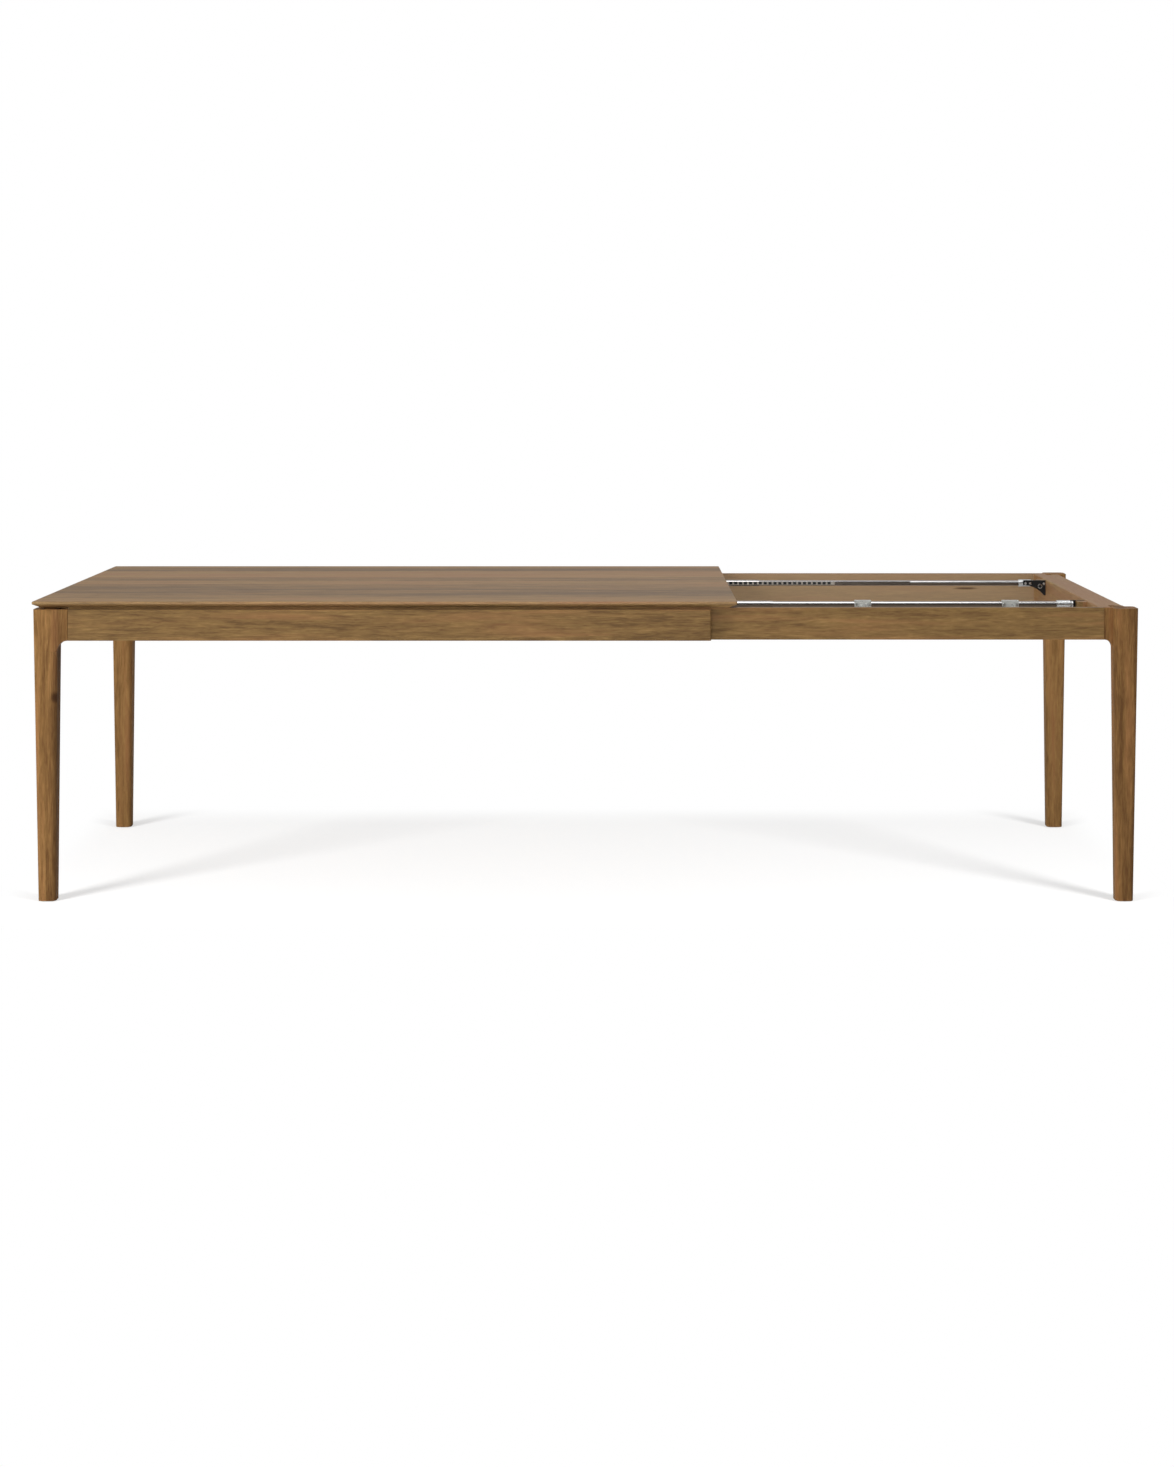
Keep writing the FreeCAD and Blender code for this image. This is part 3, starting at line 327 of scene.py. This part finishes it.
def knot_or_shade_mark(tree, wood, colour, place, lines, middle, reach, share):
    """A dark mark, a knot or a band of painted shade, whose edge is ragged along the lines of the grain."""
    offset = add(tree, "ShaderNodeVectorMath", {"operation": "SUBTRACT"}, {0: place, 1: middle})
    scaled = add(tree, "ShaderNodeVectorMath", {"operation": "DIVIDE"}, {0: offset.outputs[0], 1: reach})
    far = add(tree, "ShaderNodeVectorMath", {"operation": "LENGTH"}, {0: scaled.outputs[0]})
    ragged = add(tree, "ShaderNodeMath", SCALE_AND_ADD, {0: lines, 1: MARK_RAGGED, 2: far.outputs["Value"]})
    edge = add(tree, "ShaderNodeMapRange", SMOOTH, {
        "Value": ragged.outputs[0], "From Min": MARK_FULL, "From Max": MARK_GONE,
        "To Min": share, "To Max": 0.0})
    mixed = add(tree, "ShaderNodeMix", BLEND, {
        SHARE: edge.outputs["Result"], UNDER: colour, OVER: wood.knot})
    return mixed.outputs[MIXED]


def seamed(tree, wood, colour, count, stave_width):
    """Thin dark lines where the staves are glued together."""
    part = add(tree, "ShaderNodeMath", {"operation": "FRACT"}, {0: count})
    centred = add(tree, "ShaderNodeMath", {"operation": "SUBTRACT"}, {0: part.outputs[0], 1: 0.5})
    away = add(tree, "ShaderNodeMath", {"operation": "ABSOLUTE"}, {0: centred.outputs[0]})
    line = add(tree, "ShaderNodeMapRange", inputs={
        "Value": away.outputs[0], "From Min": 0.5 - SEAM_REACH / stave_width, "From Max": 0.5,
        "To Min": 0.0, "To Max": SEAM_SHARE})
    glued = add(tree, "ShaderNodeMix", BLEND, {
        SHARE: line.outputs["Result"], UNDER: colour, OVER: wood.dark})
    return glued.outputs[MIXED]


def teak(name, along, wood, seed=0.37, stave_width=1.0, seams=False, knots_and_shade=(), raw_inside=None,
         lift=0.0, tint=None, banding=0.2, sheen=0.15, spread=0.16):
    """Oiled teak: brown bands and fine darker lines along the fibres, open pores, a soft low gloss.

    Lift makes a board lighter. Banding and spread say how much its bands and its staves differ in tone.
    """
    material, tree = new_material(name)
    grain, chance, count, place, across = grain_of(tree, along, stave_width, seed)
    bands = stretched_noise(tree, grain, BAND_LENGTH, wood.band_width, 2.0)
    figure = stretched_noise(tree, grain, FIGURE_LENGTH, wood.figure_width, 3.0, 0.7)
    flecks = stretched_noise(tree, grain, FLECK_LENGTH, wood.fleck_width, 2.0, 0.5)
    lines = stretched_noise(tree, grain, LINE_LENGTH, wood.grain_width, 2.0)
    pores = stretched_noise(tree, grain, PORE_LENGTH, wood.pore_width, 1.0)
    marks = ((chance, spread), (bands, banding), (figure, FIGURE_SHARE), (flecks, FLECK_SHARE),
             (lines, LINE_SHARE), (pores, PORE_SHARE))
    tone = PLAIN_TONE + lift - (banding + spread) / 2
    for mark, share in marks:
        tone = add(tree, "ShaderNodeMath", SCALE_AND_ADD, {0: mark, 1: share, 2: tone}).outputs[0]
    colour = teak_colour(tree, wood, tone, bands, chance)
    if tint:
        tinted = add(tree, "ShaderNodeMix", TINT, {SHARE: 1.0, UNDER: colour, OVER: tint})
        colour = tinted.outputs[MIXED]
    if raw_inside:
        colour = sanded_inside(tree, wood, colour, across, raw_inside)
    for middle, reach, share in knots_and_shade:
        colour = knot_or_shade_mark(tree, wood, colour, place, lines, middle, reach, share)
    if seams:
        colour = seamed(tree, wood, colour, count, stave_width)
    gloss = add(tree, "ShaderNodeMapRange", inputs={
        "Value": lines, "From Min": NOISE_LOW, "From Max": NOISE_HIGH, "To Min": 0.6, "To Max": 0.48})
    relief = add(tree, "ShaderNodeBump", inputs={"Strength": 0.25, "Distance": 0.2 * MM, "Height": tone})
    close_material(tree, add(tree, "ShaderNodeBsdfPrincipled", inputs={
        "Base Color": colour, "Roughness": gloss.outputs["Result"], "Specular IOR Level": sheen,
        "Normal": relief.outputs["Normal"]}))
    return material


def beech(wood):
    """Planed beech: pale, even, with short darker flecks along the fibres and no finish on it."""
    material, tree = new_material("planed beech")
    grain = grain_of(tree, "Y", stave_width=1.0, seed=0.2)[0]
    bands = stretched_noise(tree, grain, 200 * MM, 9 * MM, 2.0)
    flecks = stretched_noise(tree, grain, 5 * MM, 1.2 * MM, 1.0)
    both = add(tree, "ShaderNodeMath", SCALE_AND_ADD, {0: flecks, 1: 0.5, 2: bands})
    ramp = add(tree, "ShaderNodeValToRGB", inputs={"Fac": both.outputs[0]})
    ramp.color_ramp.elements[0].position = 0.5
    ramp.color_ramp.elements[0].color = wood.beech_dark
    ramp.color_ramp.elements[1].position = 0.95
    ramp.color_ramp.elements[1].color = wood.beech_light
    relief = add(tree, "ShaderNodeBump", inputs={"Strength": 0.2, "Distance": 0.1 * MM, "Height": flecks})
    close_material(tree, add(tree, "ShaderNodeBsdfPrincipled", inputs={
        "Base Color": ramp.outputs["Color"], "Roughness": 0.7, "IOR": 1.5,
        "Normal": relief.outputs["Normal"]}))
    return material


def drawn_steel(name, colour, smoothest, roughest, under=None):
    """Drawn steel with painted shade: its colour is darkened on the faces turned down and full on the upper
    side, with faint stains along its length.
    """
    material, tree = new_material(name)
    place = add(tree, "ShaderNodeTexCoord")
    stains = stretched_noise(tree, place.outputs["Object"], 90 * MM, 8 * MM, 3.0)
    rough = add(tree, "ShaderNodeMapRange", inputs={
        "Value": stains, "From Min": NOISE_LOW, "From Max": NOISE_HIGH,
        "To Min": smoothest, "To Max": roughest})
    shade = add(tree, "ShaderNodeMapRange", inputs={
        "Value": stains, "From Min": NOISE_LOW, "From Max": NOISE_HIGH, "To Min": 0.92, "To Max": 1.0})
    upward = add(tree, "ShaderNodeSeparateXYZ", inputs={"Vector": place.outputs["Normal"]})
    # Painted shade: faces turned down take the darker colour, faces turned up keep the full colour.
    unshaded_share = add(tree, "ShaderNodeMapRange", SMOOTH, {
        "Value": upward.outputs["Z"], "From Min": -0.1, "From Max": 0.35})
    shaded_colour = add(tree, "ShaderNodeMix", BLEND, {
        SHARE: unshaded_share.outputs["Result"], UNDER: under or colour, OVER: colour})
    tinted = add(tree, "ShaderNodeMix", TINT, {
        SHARE: 1.0, UNDER: shaded_colour.outputs[MIXED], OVER: shade.outputs["Result"]})
    close_material(tree, add(tree, "ShaderNodeBsdfPrincipled", inputs={
        "Base Color": tinted.outputs[MIXED], "Metallic": 1.0, "Roughness": rough.outputs["Result"]}))
    return material


def mottled(tree, size, detail, smoothest, roughest, start=NOISE_LOW):
    """A mottle with cells of one size, and the roughness that follows it."""
    place = add(tree, "ShaderNodeTexCoord")
    mottle = add(tree, "ShaderNodeTexNoise", inputs={
        "Vector": place.outputs["Object"], "Scale": 1 / size, "Detail": detail}).outputs["Fac"]
    rough = add(tree, "ShaderNodeMapRange", inputs={
        "Value": mottle, "From Min": start, "From Max": NOISE_HIGH,
        "To Min": smoothest, "To Max": roughest})
    return mottle, rough.outputs["Result"]


def dull_skin(tree, colour, mottle, rough, strength, depth):
    """Ends a material in a dull skin whose fine bumps are as deep as the size says."""
    relief = add(tree, "ShaderNodeBump", inputs={"Strength": strength, "Distance": depth, "Height": mottle})
    close_material(tree, add(tree, "ShaderNodeBsdfPrincipled", inputs={
        "Base Color": colour, "Roughness": rough, "Specular IOR Level": 0.3,
        "Normal": relief.outputs["Normal"]}))


def zinc_plate(colour):
    """Zinc plate on steel: bright, bluish, a little cloudy."""
    material, tree = new_material("zinc plated steel")
    rough = mottled(tree, 2.5 * MM, 2.0, 0.2, 0.38)[1]
    close_material(tree, add(tree, "ShaderNodeBsdfPrincipled", inputs={
        "Base Color": colour, "Metallic": 1.0, "Roughness": rough}))
    return material


def powder_coat(name, colour):
    """Powder coat on steel: an even colour with a fine orange-peel skin and a dull sheen."""
    material, tree = new_material(name)
    peel, rough = mottled(tree, 0.8 * MM, 1.0, 0.4, 0.55)
    dull_skin(tree, colour, peel, rough, 0.3, 0.08 * MM)
    return material


def moulded_nylon(name, colour):
    """Moulded nylon: matt from a spark-eroded mould, with a faint mottle."""
    material, tree = new_material(name)
    # real grit is finer than a tenth of a millimetre, drawn coarser so that it shows
    grit, rough = mottled(tree, 0.6 * MM, 2.0, 0.45, 0.62)
    dull_skin(tree, colour, grit, rough, 0.2, 0.05 * MM)
    return material


def clear_polycarbonate(colour):
    """Moulded polycarbonate: clear, with rubbed patches that scatter the light."""
    material, tree = new_material("clear polycarbonate")
    rough = mottled(tree, 6 * MM, 3.0, 0.25, 0.35, start=0.35)[1]
    close_material(tree, add(tree, "ShaderNodeBsdfPrincipled", inputs={
        "Base Color": colour, "Roughness": rough, "IOR": 1.58, "Transmission Weight": 0.35}))
    return material


class TABLE_OT_top(bpy.types.Operator):
    """Finish the top and the two stored leaves in glued teak staves"""
    bl_idname = "table.top"
    bl_label = "Finish Top and Leaves"

    def execute(self, context):
        wood = context.scene.table_wood
        staves = {"stave_width": wood.stave_width, "seams": True, "banding": 0.5, "spread": 0.28}
        dress(teak("oiled teak top", "X", wood, seed=0.5, lift=0.05, sheen=0.5, **staves), "table_top")
        dress(teak("oiled teak leaf", "X", wood, seed=0.2, **staves), "leaf_upper", "leaf_lower")
        return {"FINISHED"}


class TABLE_OT_legs(bpy.types.Operator):
    """Finish the four legs in upright-grained teak, with painted shade down the inner edge of the front
    left leg
    """
    bl_idname = "table.legs"
    bl_label = "Finish Legs"

    def execute(self, context):
        wood = context.scene.table_wood
        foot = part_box("leg_front_left")[0]
        # Painted shade: a dark band down the inner edge of the front left leg, where its side turns away
        # from the key lamp.
        painted_edge_shade = (foot + Vector((64, 38, 298)) * MM, Vector((28, 80, 1200)) * MM, 0.62)
        knot = (foot + Vector((56.5, 3, 517.5)) * MM, Vector((14, 40, 18)) * MM, 0.85)
        # Each leg's lift is partly the tone of its own board and partly painted shade: the front right leg,
        # farthest from the key lamp, is drawn darkest.
        boards = {
            "front_left": (0.075, [painted_edge_shade, knot]),
            "back_left": (0.1, []),
            "front_right": (0.015, []),
            "back_right": (0.12, []),
        }
        for corner, (lift, marks) in boards.items():
            board = teak(f"oiled teak leg {corner}", "Z", wood, knots_and_shade=marks, lift=lift, tint=wood.leg,
                         banding=0.5, sheen=0.05)
            dress(board, "leg_" + corner)
        return {"FINISHED"}


class TABLE_OT_rails(bpy.types.Operator):
    """Finish the aprons, the end rail, the end beam and the runner blocks in teak"""
    bl_idname = "table.rails"
    bl_label = "Finish Aprons and Rails"

    def execute(self, context):
        wood = context.scene.table_wood
        low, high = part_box("sliding_apron_back")
        inner_face = low.y + 0.5 * MM
        # A dark patch on the inner face of the back sliding apron, toward its right end.
        dark_patch = ((high.x - 211 * MM, inner_face, low.z + 38.5 * MM), (42 * MM, 12 * MM, 4 * MM), 0.85)
        fixed = teak("oiled teak fixed apron", "X", wood, seed=0.1)
        sliding = teak("oiled teak sliding apron", "X", wood, seed=0.4, knots_and_shade=[dark_patch], raw_inside=inner_face,
                       lift=0.02)
        cross = teak("oiled teak cross rail", "Y", wood, seed=0.7, lift=0.05, sheen=0.4)
        dress(fixed, "fixed_apron_front", "fixed_apron_back")
        dress(sliding, "sliding_apron_front", "sliding_apron_back")
        dress(cross, "left_end_rail", "right_end_beam", "runner_block_front", "runner_block_back")
        return {"FINISHED"}


class TABLE_OT_blocks(bpy.types.Operator):
    """Finish the hidden blocks, dowels and battens in planed beech"""
    bl_idname = "table.blocks"
    bl_label = "Finish Hidden Blocks"

    def execute(self, context):
        dress(beech(context.scene.table_wood), "corner_block_front_left", "corner_block_back_left",
              "frame_dowels_fixed", "frame_dowels_sliding", "tail_rail", "leaf_batten")
        return {"FINISHED"}


class TABLE_OT_runners(bpy.types.Operator):
    """Finish the telescopic tubes, their clamps and the perforated strips"""
    bl_idname = "table.runners"
    bl_label = "Finish Runners"

    def execute(self, context):
        fittings = context.scene.table_fittings
        steel = drawn_steel("drawn steel tube", fittings.tube, 0.18, 0.22, fittings.painted_shade)
        strip = drawn_steel("rolled steel strip", fittings.strip, 0.4, 0.5)
        nylon = moulded_nylon("black nylon", fittings.black_nylon)
        for side in ("front", "back"):
            dress(steel, *(f"{part}_{side}" for part in ("outer_tube", "middle_tube", "inner_tube")))
            dress(strip, f"runner_cage_{side}")
            dress(nylon, f"cage_inserts_{side}")
        dress(nylon, "tube_clamps")
        return {"FINISHED"}


class TABLE_OT_fasteners(bpy.types.Operator):
    """Finish the screws, bolts, pins and tube ends in zinc plate"""
    bl_idname = "table.fasteners"
    bl_label = "Finish Fasteners"

    def execute(self, context):
        dress(zinc_plate(context.scene.table_fittings.zinc),
              "leg_bolts_left", "apron_screws", "clamp_screws", "storage_screws", "tail_screws",
              "gusset_screws", "gusset_washers", "rest_screws", "cage_pins_front", "cage_pins_back",
              "tube_cap_front", "tube_cap_back", "tube_collar_front", "tube_collar_back")
        return {"FINISHED"}


class TABLE_OT_plates(bpy.types.Operator):
    """Finish the gusset plates and the storage rails in powder coat"""
    bl_idname = "table.plates"
    bl_label = "Finish Plates and Rails"

    def execute(self, context):
        fittings = context.scene.table_fittings
        dress(powder_coat("black powder coat", fittings.black_coat),
              "gusset_front", "gusset_back", "gusset_bolts")
        dress(powder_coat("grey powder coat", fittings.grey_coat),
              "storage_rail_front", "storage_rail_back")
        return {"FINISHED"}


class TABLE_OT_plastics(bpy.types.Operator):
    """Finish the clear rests and the nylon glides"""
    bl_idname = "table.plastics"
    bl_label = "Finish Rests and Glides"

    def execute(self, context):
        fittings = context.scene.table_fittings
        dress(clear_polycarbonate(fittings.clear), "leaf_rests")
        dress(moulded_nylon("white nylon", fittings.white_nylon),
              "apron_glides_fixed", "apron_glides_sliding", "foot_glides_left", "foot_glides_right")
        return {"FINISHED"}


class TABLE_OT_studio(bpy.types.Operator):
    """Make the white floor, the surroundings, the lamps and the camera"""
    bl_idname = "table.studio"
    bl_label = "Make Studio"

    def execute(self, context):
        studio = context.scene.table_studio
        shown = shown_paper(studio)
        bounce_paper(studio)
        make_world(context.scene, studio)
        all_but_shown = lit_group(shown, "EXCLUDE")
        shown_alone = lit_group(shown, "INCLUDE")
        for lamps, group in ((TABLE_LAMPS, all_but_shown), (SHADOW_LAMPS, shown_alone)):
            for name, place, width, setting in lamps:
                make_lamp(name, place, width, getattr(studio, setting), group)
        make_camera(context.scene, studio)
        context.scene.view_settings.view_transform = "Standard"
        return {"FINISHED"}


def paper_sheet(name, height, material):
    """A sheet of background paper."""
    bpy.ops.mesh.primitive_grid_add(
        x_subdivisions=2, y_subdivisions=2, size=PAPER_SIDE, location=(0, 0, height))
    sheet = bpy.context.object
    sheet.name = name
    sheet.data.materials.append(material)
    return sheet


def shown_paper(studio):
    """White background paper for the camera: part of the shadow near the feet, plain white farther off."""
    material, tree = new_material("white background paper")
    paper = add(tree, "ShaderNodeBsdfDiffuse", inputs={"Color": studio.floor})
    white = add(tree, "ShaderNodeEmission", inputs={"Color": (1, 1, 1, 1), "Strength": 1.0})
    place = add(tree, "ShaderNodeNewGeometry")
    sizes = add(tree, "ShaderNodeVectorMath", {"operation": "ABSOLUTE"}, {0: place.outputs["Position"]})
    outside = add(tree, "ShaderNodeVectorMath", {"operation": "SUBTRACT"}, {
        0: sizes.outputs[0], 1: SHADOW_EDGE})
    scaled = add(tree, "ShaderNodeVectorMath", {"operation": "DIVIDE"}, {
        0: outside.outputs[0], 1: SHADOW_FADE})
    split = add(tree, "ShaderNodeSeparateXYZ", inputs={"Vector": scaled.outputs[0]})
    far = add(tree, "ShaderNodeMath", {"operation": "MAXIMUM"}, {
        0: split.outputs["X"], 1: split.outputs["Y"]})
    fade = add(tree, "ShaderNodeMapRange", SMOOTH, {
        "Value": far.outputs[0], "From Min": 0.0, "From Max": 1.0,
        "To Min": 1 - studio.shadow_share, "To Max": 1.0})
    mixed = add(tree, "ShaderNodeMixShader", inputs={
        0: fade.outputs["Result"], 1: paper.outputs["BSDF"], 2: white.outputs["Emission"]})
    add(tree, "ShaderNodeOutputMaterial", inputs={"Surface": mixed.outputs["Shader"]})
    sheet = paper_sheet("shown_paper", 0, material)
    sheet.visible_diffuse = False
    sheet.visible_glossy = False
    sheet.visible_shadow = False
    return sheet


def bounce_paper(studio):
    """The same paper as light from below, which the camera doesn't see."""
    material, tree = new_material("white bounce paper")
    close_material(tree, add(tree, "ShaderNodeBsdfDiffuse", inputs={"Color": studio.floor}))
    sheet = paper_sheet("bounce_paper", -BOUNCE_DEPTH, material)
    sheet.visible_camera = False
    sheet.visible_transmission = False


def lit_group(sheet, state):
    """What a lamp lights: the shown paper alone, or all but it."""
    group = bpy.data.collections.new(f"{state.lower()} shown paper")
    group.objects.link(sheet)
    group.collection_objects[0].light_linking.link_state = state
    return group


def make_world(scene, studio):
    """Walls and ceiling as light and in shiny faces, and plain white where the camera sees them."""
    world = bpy.data.worlds.new("white studio")
    world.use_nodes = True
    tree = world.node_tree
    tree.nodes.clear()
    path = add(tree, "ShaderNodeLightPath")
    way = add(tree, "ShaderNodeTexCoord")
    split = add(tree, "ShaderNodeSeparateXYZ", inputs={"Vector": way.outputs["Generated"]})
    around = add(tree, "ShaderNodeMapRange", inputs={
        "Value": split.outputs["X"], "From Min": -1.0, "From Max": 1.0,
        "To Min": studio.ambient, "To Max": studio.ambient * studio.far_wall})
    light = add(tree, "ShaderNodeMapRange", SMOOTH, {
        "Value": split.outputs["Z"], "From Min": CEILING_LIGHT[0], "From Max": CEILING_LIGHT[1],
        "To Min": around.outputs["Result"], "To Max": studio.ceiling})
    back_wall = add(tree, "ShaderNodeMapRange", inputs={
        "Value": split.outputs["X"], "From Min": BACK_BRIGHTENS[0], "From Max": BACK_BRIGHTENS[1],
        "To Min": BACK_LEFT_SHARE * studio.mirrored_back, "To Max": studio.mirrored_back})
    wall = add(tree, "ShaderNodeMapRange", SMOOTH, {
        "Value": split.outputs["Y"], "From Min": BACK_MIRRORED[0], "From Max": BACK_MIRRORED[1],
        "To Min": studio.mirrored_wall, "To Max": back_wall.outputs["Result"]})
    mirrored = add(tree, "ShaderNodeMapRange", SMOOTH, {
        "Value": split.outputs["Z"], "From Min": CEILING_MIRRORED[0], "From Max": CEILING_MIRRORED[1],
        "To Min": wall.outputs["Result"], "To Max": 1.0})
    shiny = add(tree, "ShaderNodeMix", inputs={
        0: path.outputs["Is Glossy Ray"], 2: light.outputs["Result"], 3: mirrored.outputs["Result"]})
    seen = add(tree, "ShaderNodeMath", {"operation": "MAXIMUM"}, {
        0: path.outputs["Is Camera Ray"], 1: path.outputs["Is Transmission Ray"]})
    strength = add(tree, "ShaderNodeMath", {"operation": "MAXIMUM"}, {
        0: shiny.outputs[0], 1: seen.outputs[0]})
    walls = add(tree, "ShaderNodeBackground", inputs={
        "Color": (1, 1, 1, 1), "Strength": strength.outputs[0]})
    add(tree, "ShaderNodeOutputWorld", inputs={"Surface": walls.outputs["Background"]})
    scene.world = world


def make_lamp(name, place, width, power, lit):
    """A round soft lamp that points at the table and lights one group alone."""
    lamp = bpy.data.lights.new(name, "AREA")
    lamp.shape = "DISK"
    lamp.size = width
    lamp.energy = power
    holder = bpy.data.objects.new(name, lamp)
    holder.location = place
    holder.rotation_mode = "QUATERNION"
    holder.rotation_quaternion = (LAMP_AIM - Vector(place)).to_track_quat("-Z", "Y")
    holder.light_linking.receiver_collection = lit
    bpy.context.scene.collection.objects.link(holder)


def make_camera(scene, studio):
    """The photograph's view: level, along +Y, with the framing left to the shift."""
    camera = bpy.data.cameras.new("camera")
    camera.lens = studio.lens
    camera.sensor_width = SENSOR_WIDTH
    camera.shift_x, camera.shift_y = studio.camera_shift
    holder = bpy.data.objects.new("camera", camera)
    holder.location = studio.camera_place
    holder.rotation_mode = "QUATERNION"
    holder.rotation_quaternion = Vector((0, 1, 0)).to_track_quat("-Z", "Y")
    scene.collection.objects.link(holder)
    scene.camera = holder


class TABLE_PT_panel(bpy.types.Panel):
    """Lists the finishes of the table and the settings behind them"""
    bl_label = "Extending Table"
    bl_space_type = "VIEW_3D"
    bl_region_type = "UI"
    bl_category = "Table"

    def draw(self, context):
        for operator in OPERATORS:
            self.layout.operator(operator.bl_idname)
        for name, group in SETTINGS.items():
            box = self.layout.box()
            for setting in group.__annotations__:
                box.prop(getattr(context.scene, name), setting)


SETTINGS = {
    "table_wood": TableWoodSettings,
    "table_fittings": TableFittingSettings,
    "table_studio": TableStudioSettings,
}
OPERATORS = (
    TABLE_OT_top,
    TABLE_OT_legs,
    TABLE_OT_rails,
    TABLE_OT_blocks,
    TABLE_OT_runners,
    TABLE_OT_fasteners,
    TABLE_OT_plates,
    TABLE_OT_plastics,
    TABLE_OT_studio,
)


def register():
    """Adds the classes, and the settings to every scene."""
    for group in (*SETTINGS.values(), *OPERATORS, TABLE_PT_panel):
        bpy.utils.register_class(group)
    for name, group in SETTINGS.items():
        setattr(bpy.types.Scene, name, bpy.props.PointerProperty(type=group))


def unregister():
    """Takes away what register added."""
    for name in SETTINGS:
        delattr(bpy.types.Scene, name)
    for group in (TABLE_PT_panel, *reversed(OPERATORS), *SETTINGS.values()):
        bpy.utils.unregister_class(group)


def main():
    """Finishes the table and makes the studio."""
    register()
    bpy.ops.table.top()
    bpy.ops.table.legs()
    bpy.ops.table.rails()
    bpy.ops.table.blocks()
    bpy.ops.table.runners()
    bpy.ops.table.fasteners()
    bpy.ops.table.plates()
    bpy.ops.table.plastics()
    bpy.ops.table.studio()


if __name__ == "__main__":
    main()
